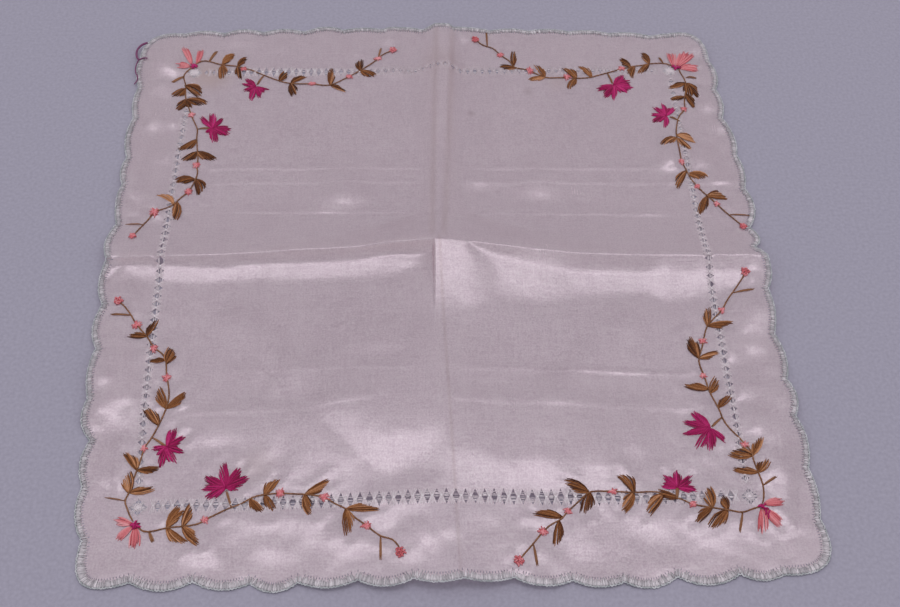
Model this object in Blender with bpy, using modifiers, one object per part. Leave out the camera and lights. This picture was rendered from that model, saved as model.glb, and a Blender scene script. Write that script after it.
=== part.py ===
"""Embroidered silk handkerchief, laid out flat with the creases of its folding in four standing up.

One cut square of silk: a scalloped, stitched rim, a frame of drawn-thread openwork and raised creases.
X runs to the right, Y away from the viewer, +Z up, in metres. The cloth rests on z = 0.
"""
import math
from collections import namedtuple

import bmesh
import bpy
from mathutils import Vector
from mathutils.geometry import delaunay_2d_cdt

MM = 0.001

# The sheet
CLOTH_THICK = 1.0
RIM_THICK = 1.4
RIM_WIDTH = 3.0
SCALLOP_STEPS = 5
CORNER_STEPS = 8
CORNER_BULGE = 6.0
SMOOTHED_STEPS = 2

# One scallop of the rim ends at a notch. Along is where the notch lies on its side, out is how far
# from the middle of the cloth, and bulge is how far the scallop swells past its two notches.
# The sides are walked anticlockwise, and each begins with the large scallop of its corner.
Notch = namedtuple("Notch", "along out bulge")
SIDE_NOTCHES = {
    "front": [Notch(*row) for row in (
        (-119.5, 151.5, 11.5), (-96.0, 151.5, 3.5), (-74.5, 152.6, 3.0), (-56.5, 152.8, 3.6),
        (-34.0, 152.6, 2.6), (-13.0, 152.9, 2.8), (6.0, 153.8, 1.6), (25.0, 153.0, 1.4),
        (47.0, 153.9, 2.8), (66.5, 154.9, 2.3), (87.0, 153.0, 3.3), (111.0, 152.5, 3.8),
        (128.0, 153.0, 2.4))],
    "right": [Notch(*row) for row in (
        (-130.0, 146.5, 10.8), (-108.0, 146.0, 1.6), (-84.5, 145.0, 2.6), (-66.0, 145.0, 2.5),
        (-43.0, 144.0, 2.6), (-20.0, 145.0, 1.4), (3.0, 143.0, 4.0), (16.5, 143.5, 3.4),
        (41.0, 145.5, 3.5), (62.0, 145.0, 1.6), (86.0, 141.5, 2.4), (106.0, 141.5, 2.2),
        (125.0, 141.0, 2.4))],
    "back": [Notch(*row) for row in (
        (113.0, 146.0, 11.0), (92.0, 148.0, 1.5), (71.0, 149.5, 1.6), (50.0, 150.0, 1.6),
        (30.0, 150.3, 1.7), (11.0, 150.5, 1.8), (-5.0, 151.0, 1.4), (-26.0, 151.0, 1.7),
        (-46.0, 151.0, 1.8), (-66.0, 150.0, 2.8), (-87.0, 149.5, 2.2), (-107.0, 148.0, 2.2),
        (-127.0, 148.3, 2.4))],
    "left": [Notch(*row) for row in (
        (128.0, 148.0, 7.5), (110.0, 146.8, 1.6), (89.0, 147.0, 1.4), (63.0, 147.0, 2.1),
        (45.0, 146.5, 1.9), (22.0, 146.5, 1.9), (0.0, 147.6, 2.7), (-23.5, 146.5, 2.9),
        (-47.0, 146.0, 3.1), (-72.0, 146.0, 1.7), (-90.0, 143.0, 3.0), (-111.0, 143.0, 2.4),
        (-134.0, 140.0, 2.6))],
}

# The ridge that crosses the cloth from left to right. From its crest the front falls steeply over
# drop to foot, runs out over reach, and the back runs out over back.
Ridge = namedtuple("Ridge", "x y height drop foot reach back")
CROSS_RIDGE = [Ridge(*row) for row in (
    (-155.0, 0.4, 4.7, 4.5, 1.2, 14.0, 30.0),
    (-100.0, 1.2, 5.2, 4.5, 1.3, 16.0, 34.0),
    (-60.0, 2.0, 6.7, 5.5, 1.6, 20.0, 38.0),
    (-15.0, 2.4, 7.4, 5.0, 1.6, 14.0, 42.0),
    (-5.0, 2.5, 6.8, 4.5, 1.5, 10.0, 42.0),
    (0.0, 2.5, 6.6, 24.0, 1.0, 40.0, 42.0),
    (8.0, 2.3, 6.8, 22.0, 1.0, 40.0, 42.0),
    (14.0, 2.1, 7.2, 5.0, 3.4, 34.0, 42.0),
    (30.0, 1.4, 6.0, 6.0, 2.5, 32.0, 40.0),
    (60.0, -0.2, 4.4, 9.0, 1.3, 28.0, 36.0),
    (100.0, -1.2, 5.4, 9.0, 1.4, 25.0, 34.0),
    (155.0, -3.1, 2.6, 7.0, 0.8, 18.0, 28.0))]

# The spine that runs from front to back: flat is half the width of its top, left and right how
# far its flanks reach past that.
Spine = namedtuple("Spine", "y x height flat left right")
SPINE = [Spine(*row) for row in (
    (-160.0, 4.0, 4.3, 0.0, 80.0, 60.0),
    (-118.0, 2.0, 5.5, 0.0, 85.0, 70.0),
    (-75.0, -0.5, 6.5, 0.0, 95.0, 110.0),
    (-30.0, -2.5, 6.5, 0.0, 95.0, 110.0),
    (0.0, -2.0, 6.5, 0.0, 85.0, 95.0),
    (28.0, 2.0, 3.4, 3.5, 12.0, 12.0),
    (55.0, 2.5, 3.2, 3.5, 8.0, 8.0),
    (90.0, 3.0, 4.5, 3.0, 14.0, 8.0),
    (120.0, 4.0, 6.5, 2.0, 26.0, 9.0),
    (160.0, 5.0, 4.0, 2.0, 20.0, 12.0))]

# Soft folds that lie across the cloth, each a low swell along a straight line
Swell = namedtuple("Swell", "x0 y0 x1 y1 height reach")
SWELLS = [Swell(*row) for row in (
    (-100.0, -28.0, -60.0, -75.0, 1.2, 13.0),
    (-60.0, -75.0, -22.0, -112.0, 1.6, 14.0),
    (-22.0, -112.0, 2.0, -146.0, 1.2, 13.0),
    (86.0, -28.0, 40.0, -82.0, 1.0, 13.0))]

# Drawn-thread openwork: a row of diamond gaps along each side. Bow is how far the row swings out
# at its middle, bar_at the place of the thread bar that the other gaps are counted from.
Openwork = namedtuple("Openwork", "side out bow bar_at pitch gap_along gap_across")
OPENWORK_ROWS = [Openwork(*row) for row in (
    ("front", 119.6, 0.0, 2.0, 3.75, 2.6, 7.8),
    ("right", 119.6, 0.8, -2.0, 4.0, 2.8, 5.0),
    ("back", 120.4, 0.0, 4.0, 3.75, 2.0, 7.4),
    ("left", 120.6, 3.0, 1.0, 4.3, 3.1, 5.2))]
ROW_HALF_LENGTH = 114.5
CORNER_WINDOW = 5.6
CORNER_OUT = 120.0

# Distances from the two creases at which the sheet is given a line of points
ACROSS_LINES = (3, 6, 11, 18, 28, 40, 54, 69, 84, 99, 111.5, 128.5, 138)
BEHIND_LINES = (5, 11, 19, 28, 40, 54, 69, 84, 99, 112.5, 128.5, 139)
BEFORE_LINES = (2.5, 5, 8.5, 13, 20, 30, 42, 55, 69, 84, 99, 111.5, 128, 139)
RIM_CLEARANCE = 4.5
GAP_CLEARANCE = 1.8

# Triangles are kept inside the outline, and points closer than this are one
INSIDE_TRIANGLES = 1
MERGE_DISTANCE = 1e-5

SILK_COLOUR = (0.78, 0.68, 0.70, 1.0)
SILK_ROUGHNESS = 0.38


def clear_scene():
    for thing in list(bpy.data.objects):
        bpy.data.objects.remove(thing, do_unlink=True)


def read_row(table, key, where):
    """Read a table's columns at a place between two of its rows, on a smooth curve through them."""
    spots = [getattr(row, key) for row in table]
    last = len(table) - 2
    i = min(max(sum(spot <= where for spot in spots) - 1, 0), last)
    span = spots[i + 1] - spots[i]
    t = min(max((where - spots[i]) / span, 0.0), 1.0)
    values = []
    for column in range(len(table[0])):
        here, there = table[i][column], table[i + 1][column]
        before, beyond = max(i - 1, 0), min(i + 2, last + 1)
        lean_here = (there - table[before][column]) / (spots[i + 1] - spots[before]) * span
        lean_there = (table[beyond][column] - here) / (spots[beyond] - spots[i]) * span
        lean_here = steady(lean_here, here - table[before][column], there - here)
        lean_there = steady(lean_there, there - here, table[beyond][column] - there)
        values.append(here * (1 + 2 * t) * (1 - t) ** 2 + lean_here * t * (1 - t) ** 2
                      + there * t * t * (3 - 2 * t) - lean_there * t * t * (1 - t))
    return type(table[0])(*values)


def steady(lean, step_before, step_after):
    """Keep a curve from overshooting where its table turns."""
    if step_before * step_after < 0:
        return 0.0
    limit = 3 * abs(step_after if abs(step_after) < abs(step_before) or not step_before else step_before)
    return max(-limit, min(limit, lean))


def fall(distance, reach, power=2.0):
    """Drop smoothly from one to nothing over a reach."""
    return max(0.0, 1.0 - abs(distance) / reach) ** power


def height(x, y):
    """Height of the cloth's underside above the table, in millimetres."""
    ridge = read_row(CROSS_RIDGE, "x", x)
    spine = read_row(SPINE, "y", y)
    behind = y - ridge.y
    if behind > 0:
        lift = ridge.height * fall(behind, ridge.back)
    else:
        lift = ridge.foot * fall(behind, ridge.reach) + (ridge.height - ridge.foot) * fall(behind, ridge.drop)
    aside = x - spine.x
    flank = spine.right if aside > 0 else spine.left
    lift += spine.height * fall(max(0.0, abs(aside) - spine.flat), flank, 1.5)
    for swell in SWELLS:
        lift += swell_height(swell, x, y)
    return lift


def swell_height(swell, x, y):
    line = Vector((swell.x1 - swell.x0, swell.y1 - swell.y0))
    reach = Vector((x - swell.x0, y - swell.y0))
    along = min(max(reach.dot(line) / line.length_squared, 0.0), 1.0)
    off = (reach - along * line).length
    return swell.height * max(0.0, 1.0 - (off / swell.reach) ** 2) ** 2


def on_side(side, along, out):
    """Turn a place on a side, given along it and out from the middle, into x and y."""
    return {"front": Vector((along, -out)), "right": Vector((out, along)),
            "back": Vector((along, out)), "left": Vector((-out, along))}[side]


def scalloped_outline():
    """Walk the notches and swell a scallop between each two, with the line where its stitches end."""
    notches = [(on_side(side, notch.along, notch.out), notch.bulge)
               for side, rows in SIDE_NOTCHES.items() for notch in rows]
    outline = []
    for i, (end, bulge) in enumerate(notches):
        start = notches[i - 1][0]
        chord = end - start
        outward = Vector((chord.y, -chord.x)).normalized()
        steps = CORNER_STEPS if bulge > CORNER_BULGE else SCALLOP_STEPS
        for step in range(steps):
            t = step / steps
            outline.append(start.lerp(end, t) + outward * bulge * 4 * t * (1 - t))
    inner = []
    for i, point in enumerate(outline):
        run = outline[(i + SMOOTHED_STEPS) % len(outline)] - outline[i - SMOOTHED_STEPS]
        inner.append(point - Vector((run.y, -run.x)).normalized() * RIM_WIDTH)
    return outline, inner


def diamond(centre, half_x, half_y):
    return [centre + Vector(corner) for corner in ((half_x, 0), (0, half_y), (-half_x, 0), (0, -half_y))]


def openwork_gaps():
    """List the gaps of the four rows and the window at each corner of the frame."""
    gaps = []
    for row in OPENWORK_ROWS:
        first = math.ceil((-ROW_HALF_LENGTH - row.bar_at) / row.pitch - 0.5)
        last = math.floor((ROW_HALF_LENGTH - row.bar_at) / row.pitch - 0.5)
        for count in range(first, last + 1):
            along = row.bar_at + (count + 0.5) * row.pitch
            out = row.out + row.bow * (1 - (along / ROW_HALF_LENGTH) ** 2)
            half = Vector((row.gap_along, row.gap_across)) / 2
            if row.side in ("left", "right"):
                half = half.yx
            gaps.append((on_side(row.side, along, out), half))
    for x in (-CORNER_OUT, CORNER_OUT):
        for y in (-CORNER_OUT, CORNER_OUT):
            gaps.append((Vector((x, y)), Vector((CORNER_WINDOW, CORNER_WINDOW)) * math.sqrt(0.5)))
    return gaps


def in_loop(point, loop):
    inside = False
    for a, b in zip(loop, loop[-1:] + loop[:-1]):
        if (a.y > point.y) != (b.y > point.y):
            inside ^= point.x < (b.x - a.x) * (point.y - a.y) / (b.y - a.y) + a.x
    return inside


def fold_points(inner, gaps):
    """Points of the sheet between its edges, on lines that follow the two creases."""
    aside = [-d for d in reversed(ACROSS_LINES)] + [0] + list(ACROSS_LINES)
    along = [-d for d in reversed(BEFORE_LINES)] + [0] + list(BEHIND_LINES)
    points, creases = [], {"ridge": [], "spine": []}
    for step_y in along:
        for step_x in aside:
            x = step_x + read_row(SPINE, "y", step_y).x
            y = step_y + read_row(CROSS_RIDGE, "x", x).y
            point = Vector((x, y))
            if not in_loop(point, inner) or min((point - rim).length for rim in inner) < RIM_CLEARANCE:
                continue
            if any(abs(x - gap.x) < half.x + GAP_CLEARANCE and abs(y - gap.y) < half.y + GAP_CLEARANCE
                   for gap, half in gaps):
                continue
            if step_y == 0:
                creases["ridge"].append(len(points))
            if step_x == 0:
                creases["spine"].append(len(points))
            points.append(point)
    return points, [pair for line in creases.values() for pair in zip(line, line[1:])]


def silk_material():
    material = bpy.data.materials.new("silk")
    material.use_nodes = True
    shader = material.node_tree.nodes["Principled BSDF"]
    shader.inputs["Base Color"].default_value = SILK_COLOUR
    shader.inputs["Roughness"].default_value = SILK_ROUGHNESS
    shader.inputs["Metallic"].default_value = 0.0
    return material


def build_cloth(collection):
    outline, inner = scalloped_outline()
    gaps = openwork_gaps()
    points, edges = [], []
    loops = [outline, inner] + [diamond(gap, half.x, half.y) for gap, half in gaps]
    for loop in loops:
        first = len(points)
        points += loop
        edges += [(first + i, first + (i + 1) % len(loop)) for i in range(len(loop))]
    first = len(points)
    fold, crease_lines = fold_points(inner, gaps)
    points += fold
    edges += [(first + a, first + b) for a, b in crease_lines]
    flat, _, faces, *_ = delaunay_2d_cdt(points, edges, [], INSIDE_TRIANGLES, MERGE_DISTANCE)

    low = Vector((min(p.x for p in outline), min(p.y for p in outline)))
    high = Vector((max(p.x for p in outline), max(p.y for p in outline)))
    middle = (low + high) / 2
    rim_count = len(outline) + len(inner)

    bm = bmesh.new()
    for p in flat:
        bm.verts.new(((p.x - middle.x) * MM, (p.y - middle.y) * MM, height(p.x, p.y) * MM))
    bm.verts.ensure_lookup_table()
    for face in faces:
        centre = sum((flat[i] for i in face), Vector((0, 0))) / len(face)
        if not any(abs(centre.x - gap.x) / half.x + abs(centre.y - gap.y) / half.y < 1 for gap, half in gaps):
            bm.faces.new([bm.verts[i] for i in face])
    bmesh.ops.reverse_faces(bm, faces=[face for face in bm.faces if face.normal.z < 0])
    mesh = bpy.data.meshes.new("cloth")
    bm.to_mesh(mesh)
    bm.free()

    cloth = bpy.data.objects.new("cloth", mesh)
    collection.objects.link(cloth)
    cloth.data.materials.append(silk_material())
    rim = cloth.vertex_groups.new(name="rim")
    rim.add(range(rim_count), 1.0, "REPLACE")
    rim.add(range(rim_count, len(flat)), CLOTH_THICK / RIM_THICK, "REPLACE")
    solid = cloth.modifiers.new("sheet", "SOLIDIFY")
    solid.thickness = RIM_THICK * MM
    solid.offset = 1.0
    solid.use_even_offset = True
    solid.use_quality_normals = True
    solid.vertex_group = "rim"
    return cloth


clear_scene()
handkerchief = bpy.data.collections.new("silk_handkerchief")
bpy.context.scene.collection.children.link(handkerchief)
build_cloth(handkerchief)
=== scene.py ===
"""An embroidered silk handkerchief, unfolded and laid flat, with the creases of its folding standing up."""
import math
from collections import namedtuple

import bpy
import numpy as np
from mathutils import Matrix, Vector
from mathutils.geometry import delaunay_2d_cdt


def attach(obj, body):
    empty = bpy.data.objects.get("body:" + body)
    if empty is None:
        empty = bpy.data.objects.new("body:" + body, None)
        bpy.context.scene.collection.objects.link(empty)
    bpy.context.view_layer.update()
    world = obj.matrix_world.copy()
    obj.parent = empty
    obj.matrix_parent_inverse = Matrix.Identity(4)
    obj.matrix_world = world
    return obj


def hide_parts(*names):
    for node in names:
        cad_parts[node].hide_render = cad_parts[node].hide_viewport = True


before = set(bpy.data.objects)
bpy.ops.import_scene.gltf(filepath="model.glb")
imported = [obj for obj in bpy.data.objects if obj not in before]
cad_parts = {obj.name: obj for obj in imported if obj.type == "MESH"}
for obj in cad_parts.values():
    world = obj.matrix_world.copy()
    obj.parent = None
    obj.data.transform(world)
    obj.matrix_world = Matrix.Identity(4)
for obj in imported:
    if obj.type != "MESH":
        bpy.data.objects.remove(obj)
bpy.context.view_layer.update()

MM = 0.001


# The camera stands in front of the cloth and looks down on it, as a person at the table does. Its
# place follows from the four corners of the openwork frame, taken as a square.
eye_rise, eye_turn, eye_roll = (math.radians(angle) for angle in (54.297, -3.248, 2.02))
looked_at = Vector((5.15, -21.76, 0.0)) * MM
eye_distance = 542.7 * MM
eye_back = Vector((math.sin(eye_turn) * math.cos(eye_rise), -math.cos(eye_turn) * math.cos(eye_rise),
                   math.sin(eye_rise)))
eye_level = Vector((0, 0, 1)).cross(eye_back).normalized()
eye_upright = eye_back.cross(eye_level)
eye_right = eye_level * math.cos(eye_roll) + eye_upright * math.sin(eye_roll)
eye_up = eye_upright * math.cos(eye_roll) - eye_level * math.sin(eye_roll)
camera = bpy.data.objects.new("camera", bpy.data.cameras.new("camera"))
camera.data.sensor_width = 36.0
camera.data.lens = 49.55
camera.data.clip_start, camera.data.clip_end = 0.02, 20.0
camera.matrix_world = (Matrix.Translation(looked_at + eye_back * eye_distance)
                       @ Matrix((eye_right, eye_up, eye_back)).transposed().to_4x4())
bpy.context.scene.collection.objects.link(camera)
bpy.context.scene.camera = camera


# The silk square. One piece of light satin silk with a scalloped cut, pressed in four when it was
# put away, so that a ridge now crosses it each way. All tables here are in millimetres, measured
# on the cloth, with the middle of the openwork frame as zero.

# The notches of the scalloped cut, walked anticlockwise: how far along its side each one lies, how
# far out from the middle, and how far the scallop that ends at it swells.
Notch = namedtuple("Notch", "along out bulge")
SIDE_NOTCHES = {side: [Notch(*row) for row in rows] for side, rows in {
    "front": (
        (-119.5, 151.5, 11.5), (-96, 151.5, 3.5), (-74.5, 152.6, 3), (-56.5, 152.8, 3.6), (-34, 152.6, 2.6),
        (-13, 152.9, 2.8), (6, 153.8, 1.6), (25, 153, 1.4), (47, 153.9, 2.8), (66.5, 154.9, 2.3),
        (87, 153, 3.3), (111, 152.5, 3.8), (128, 153, 2.4)),
    "right": (
        (-130, 146.5, 10.8), (-108, 146, 1.6), (-84.5, 145, 2.6), (-66, 145, 2.5), (-43, 144, 2.6),
        (-20, 145, 1.4), (3, 143, 4), (16.5, 143.5, 3.4), (41, 145.5, 3.5), (62, 145, 1.6),
        (86, 141.5, 2.4), (106, 141.5, 2.2), (125, 141, 2.4)),
    "back": (
        (113, 146, 11), (92, 148, 1.5), (71, 149.5, 1.6), (50, 150, 1.6), (30, 150.3, 1.7),
        (11, 150.5, 1.8), (-5, 151, 1.4), (-26, 151, 1.7), (-46, 151, 1.8), (-66, 150, 2.8),
        (-87, 149.5, 2.2), (-107, 148, 2.2), (-127, 148.3, 2.4)),
    "left": (
        (128, 148, 7.5), (110, 146.8, 1.6), (89, 147, 1.4), (63, 147, 2.1), (45, 146.5, 1.9),
        (22, 146.5, 1.9), (0, 147.6, 2.7), (-23.5, 146.5, 2.9), (-47, 146, 3.1), (-72, 146, 1.7),
        (-90, 143, 3), (-111, 143, 2.4), (-134, 140, 2.6))}.items()}

# The ridge from left to right: its line and height, how far its steep drop towards the viewer
# reaches, how high the slope at the foot of the drop stands and reaches, and the reach of its back.
Ridge = namedtuple("Ridge", "x y height drop foot reach back")
CROSS_RIDGE = [Ridge(*row) for row in (
    (-155, 0.2, 4.6, 2.4, 2.5, 10.6, 30),
    (-140, 0.4, 4.6, 2.2, 2.5, 10.8, 31),
    (-120, 0.6, 4.8, 2.8, 3, 12.8, 32),
    (-100, 0.8, 4.9, 4.6, 3.1, 13.4, 34),
    (-80, 1.3, 5.4, 3.5, 3.1, 13.3, 36),
    (-60, 1.6, 6.1, 4.3, 3.4, 14.6, 38),
    (-40, 1.5, 5.9, 4.4, 3.5, 15, 40),
    (-20, 2.2, 6.9, 3, 3.4, 14.6, 42),
    (-10, 2.2, 7, 4.8, 2.9, 12.4, 42),
    (-5, 2.1, 7.2, 6.4, 2.5, 10.8, 42),
    (0, 2, 7.5, 24, 7.4, 41, 42),
    (8, 1.9, 7.5, 22, 7.4, 41, 42),
    (14, 1.7, 7.2, 2.8, 6.6, 33, 42),
    (20, 1.3, 7, 4, 6.1, 29, 41),
    (30, 0.4, 6.8, 5.2, 5.5, 26, 40),
    (40, -0.5, 6.7, 7, 5.4, 26, 39),
    (50, -1.2, 6.6, 8.2, 5.1, 24.5, 37),
    (60, -2, 6.3, 9, 4.5, 20.5, 36),
    (80, -2.2, 6.1, 8.2, 4.3, 19.4, 35),
    (90, -2.3, 6, 8.2, 4.2, 19, 34),
    (100, -2.2, 5.9, 7.2, 5, 23.5, 34),
    (110, -2.3, 5.8, 9, 4.7, 21.8, 33),
    (120, -2.4, 5.4, 8.2, 4.5, 20.3, 32),
    (130, -2.7, 5, 7.2, 3.7, 17, 31),
    (145, -3.3, 4.2, 6.8, 2.6, 12, 29),
    (155, -3.7, 3.6, 6, 2.2, 10, 28))]

# The spine from front to back: its line and height, half the width of its flat top, and the reach
# of its two sides.
Spine = namedtuple("Spine", "y x height flat left right")
SPINE = [Spine(*row) for row in (
    (-160, 4, 4.4, 0, 80, 60),
    (-118, 2, 5.2, 0, 85, 70),
    (-75, -0.5, 6.7, 0, 95, 110),
    (-30, -2.5, 6.5, 0, 95, 110),
    (0, -2, 6.3, 0, 85, 95),
    (28, 2, 3.4, 3.5, 12, 12),
    (55, 2.5, 3.2, 3.5, 8, 8),
    (90, 3, 4.5, 3, 14, 8),
    (120, 4.2, 5.6, 3.4, 12, 7),
    (160, 5, 3.4, 3.6, 7, 7))]

# A crease lies along a line. Front is how far it reaches to the viewer's side of the line when that
# runs to the right, and rear how far to the other side. A negative height makes it a trough.
Crease = namedtuple("Crease", "x0 y0 x1 y1 height front rear")
CREASES = [Crease(*row) for row in (
    # soft folds of the lower half, which the solid has too
    (-95, -24, -55, -70, 1.1, 12, 14),
    (-57, -67, -15, -106, 0.3, 12, 17),
    (-18, -107, 6, -142, 0.5, 12, 14),
    (40, -82, 86, -28, 0.9, 13, 13),
    # press lines across the upper half
    (-112, 55.5, -2, 55, 0.22, 0.9, 3),
    (6, 55, 112, 54, 0.26, 0.9, 3),
    (-112, 46.5, -2, 46, 0.16, 0.9, 3),
    (6, 46, 145, 44.5, 0.19, 0.9, 3),
    (-100, 29, -2, 27, 0.26, 1.1, 5),
    (6, 27, 112, 25, 0.26, 1, 5),
    (-100, 70, 100, 69, 0.1, 1, 3),
    # press lines across the lower half
    (-108, -29, -12, -28, 0.08, 0.9, 3),
    (-100, -58.5, -4, -61, 0.09, 0.9, 3),
    (0, -61, 116, -62.5, 0.13, 0.9, 3),
    (52, -61.5, 108, -62.5, 0.13, 0.7, 3),
    (-116, -78, -60, -78, 0.21, 2.2, 6),
    (-64, -78.5, -18, -73.5, 0.21, 2.2, 6),
    (-4, -75.5, 118, -79.5, 0.23, 2.6, 7),
    # the sharp edge along the slanting fold
    (-97, -35, -60, -76, 0.10, 2.4, 1.2),
    (-60, -76, -26, -111, 0.14, 2.4, 1.2),
    (-26, -111, 2, -146, 0.12, 3, 1.2),
    (-76, -66.5, -32, -111.5, 0.6, 16, 6.5),
    # a second upright crease, pulls in the weave, and the pleat at the left edge
    (-65, -8, -62, -84, 0.16, 1.6, 1.6),
    (-44, -39, -38, -34.5, 0.35, 1.4, 1.4),
    (19, -33, 21, -38, 0.22, 1, 1),
    (21, -44, 26, -50, 0.22, 1, 1),
    (-148, -12, -140, 1, -0.8, 3, 3),
    # pleats that pull from the openwork into the back border
    (-84, 117, -84.5, 131, 0.30, 1.3, 1.3),
    (-80.5, 117, -81, 130, 0.30, 1.3, 1.3),
    (-77.5, 117, -78, 128, 0.25, 1.3, 1.3),
    (-71.5, 117, -72, 126, 0.20, 1.2, 1.2))]

# Slack is a roll of spare cloth beside the stitching. Its face towards the viewer falls over deep,
# about the place given, and its back is more than twice as long. A negative height makes a hollow.
Slack = namedtuple("Slack", "x y wide deep height")
SLACK = [Slack(*row) for row in (
    # far left corner and left border, upper half
    (-138, 120, 14, 6.5, 2.8), (-128, 117, 6, 4.5, 0.9), (-136, 106, 8, 5.5, 2.2),
    (-137, 82, 5.5, 4, 1.7), (-127, 83, 4, 2.5, 1.1), (-142, 93, 4, 3, 1.1),
    (-144, 35, 6, 4, 2), (-137, 30, 6, 4, 2), (-130, 26, 4.5, 4, 1.8),
    (-128, 60, 5, 3, 0.9), (-100, 140, 8, 4, 1), (-22, 140, 4, 3, 1.4),
    # inside the frame, upper half
    (-43, 33, 12, 5.5, 2.2), (-51, 28.5, 7, 3, 0.7), (48, 38, 9, 4.5, 1.4),
    (20, 43, 6, 2.5, 0.8), (112, 54, 5, 4.5, 2.3), (100, 25, 9, 2.5, 0.45),
    (-20, 118, 7, 4, 1), (15, 143, 4, 3, 1.2),
    # far right corner and right border, upper half
    (134, 130, 9, 5.5, 2.4), (137, 120, 7, 5, 1.4), (133, 111, 8, 5, 1.9),
    (128, 104, 5.5, 3.5, 1.6), (136, 92, 5, 3.5, 1.7), (140, 78, 4, 3, 1.3),
    (135, 43, 8, 2.5, 0.8), (127, 55, 5, 3, 1.1),
    # left border, lower half
    (-146, -28, 4, 5, 0.9), (-138, -19, 2.6, 2.6, 0.8), (-134.5, -24, 2.6, 2.6, 0.8),
    (-131.5, -29, 2.6, 2.6, 0.7), (-140, -44, 6, 4, 0.9), (-145, -65, 9, 4.5, 1.3),
    (-114, -59, 5, 3.5, 0.75), (-138, -80, 13, 9.5, 2.4), (-129, -73, 5, 3, 0.6),
    (-128, -111, 8, 6, 0.95), (-138, -118, 5, 5, 0.5),
    # near left corner and bottom border
    (-128, -140, 15, 8, -1.1), (-100, -139, 12, 7, 0.1), (-89, -145.5, 4, 3, 0.35),
    (-72, -139, 10, 7, 0.4), (-52, -140, 10, 7, 0.65), (-30, -128, 10, 6, 0.5),
    (-12, -131, 10, 8, 0.35), (-27, -145, 6, 4, -0.35), (-38, -140, 7, 5, 0.3),
    # streaks that run off the two flowers, before the slanting fold
    (-108, -74, 9, 5, 0.8), (-104, -86, 6, 3, 0.5), (-94, -92, 7, 4.5, 0.75),
    (-78, -91, 8, 5, 0.8), (-70, -99, 6, 4, 0.6), (-60, -108, 6, 3.5, 0.5),
    (-78, -65, 5, 3.5, 0.75), (-70, -71, 5, 3, 0.6),
    # the bright ground beyond it
    (-44, -88, 22, 11, 1.8), (-30, -101, 24, 11, 1.8), (-12, -96, 14, 14, 1.1),
    (-26, -51, 11, 3.5, 0.8),
    # inside the frame, lower right
    (14, -110, 13, 9.5, 1.2), (40, -111, 15, 9.5, 1.6), (63, -113, 11, 9, 1.6),
    (77, -100, 6, 5, 0.85), (90, -107, 8, 5, 0.5), (104, -104, 6, 4, 0.5),
    # right border, lower half
    (142, -38, 15, 9, 3.4), (131, -52, 10, 6, 1.3), (124, -56, 6, 3.5, 0.85),
    (140, -62, 6, 4.5, 1.1), (127, -74, 7, 4, 0.85), (141, -79, 6, 4.5, 0.9),
    (127, -88, 10, 6.5, 1.2), (143, -95, 11, 6.5, 1.9), (114, -98, 8, 5.5, 0.9),
    (130, -109, 9, 6, 1),
    # near right corner
    (137, -116, 10, 8, 1.2), (131, -130, 13, 9, 1.2), (108, -136, 12, 8, 0.75),
    (80, -136, 14, 9, 1), (52, -135, 13, 10, 0.9), (20, -134, 14, 9, 0.45),
    (3, -143, 6, 6, -0.6), (140, -144, 9, 5, -0.1))]

# Drawn-thread openwork: along each side a row of gaps is left between bundles of threads. How far
# the gaps stand open changes along a side from one place to the next, and so does how pale the bundles are
# painted, a painted highlight where they caught the light.
Openwork = namedtuple("Openwork", "side out bow bar_at pitch gap_along gap_across")
OPENWORK_ROWS = [Openwork(*row) for row in (
    ("front", 119.6, 0, 2, 3.75, 2.6, 7.8),
    ("right", 119.6, 0.8, -2, 4, 2.8, 5),
    ("back", 120.4, 0, 4, 3.75, 2, 7.4),
    ("left", 120.6, 3, 1, 4.3, 3.1, 5.2))]
OPENWORK_AT = (-115, -80, -45, -15, 20, 45, 115)
GAP_OPEN = {
    "front": (0.6, 0.76, 0.84, 0.8, 0.86, 0.98, 0.62), "right": (0.62, 0.68, 0.72, 0.76, 0.66, 0.6, 0.45),
    "back": (0.45, 0.95, 0.66, 0.3, 0.55, 0.5, 0.32), "left": (0.58, 0.64, 0.76, 0.8, 0.74, 0.62, 0.45)}
BUNDLE_PALE_PAINTED_SHEEN = {
    "front": (0.6, 0.75, 0.8, 0.7, 0.8, 0.85, 0.65), "right": (0.5, 0.6, 0.7, 0.65, 0.6, 0.5, 0.3),
    "back": (0.4, 0.95, 0.55, 0.2, 0.3, 0.3, 0.3), "left": (0.5, 0.6, 0.7, 0.7, 0.6, 0.5, 0.35)}
ROW_HALF_LENGTH = 114.5
CORNER_OUT = 120.0
CORNER_WINDOW = 5.0

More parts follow.
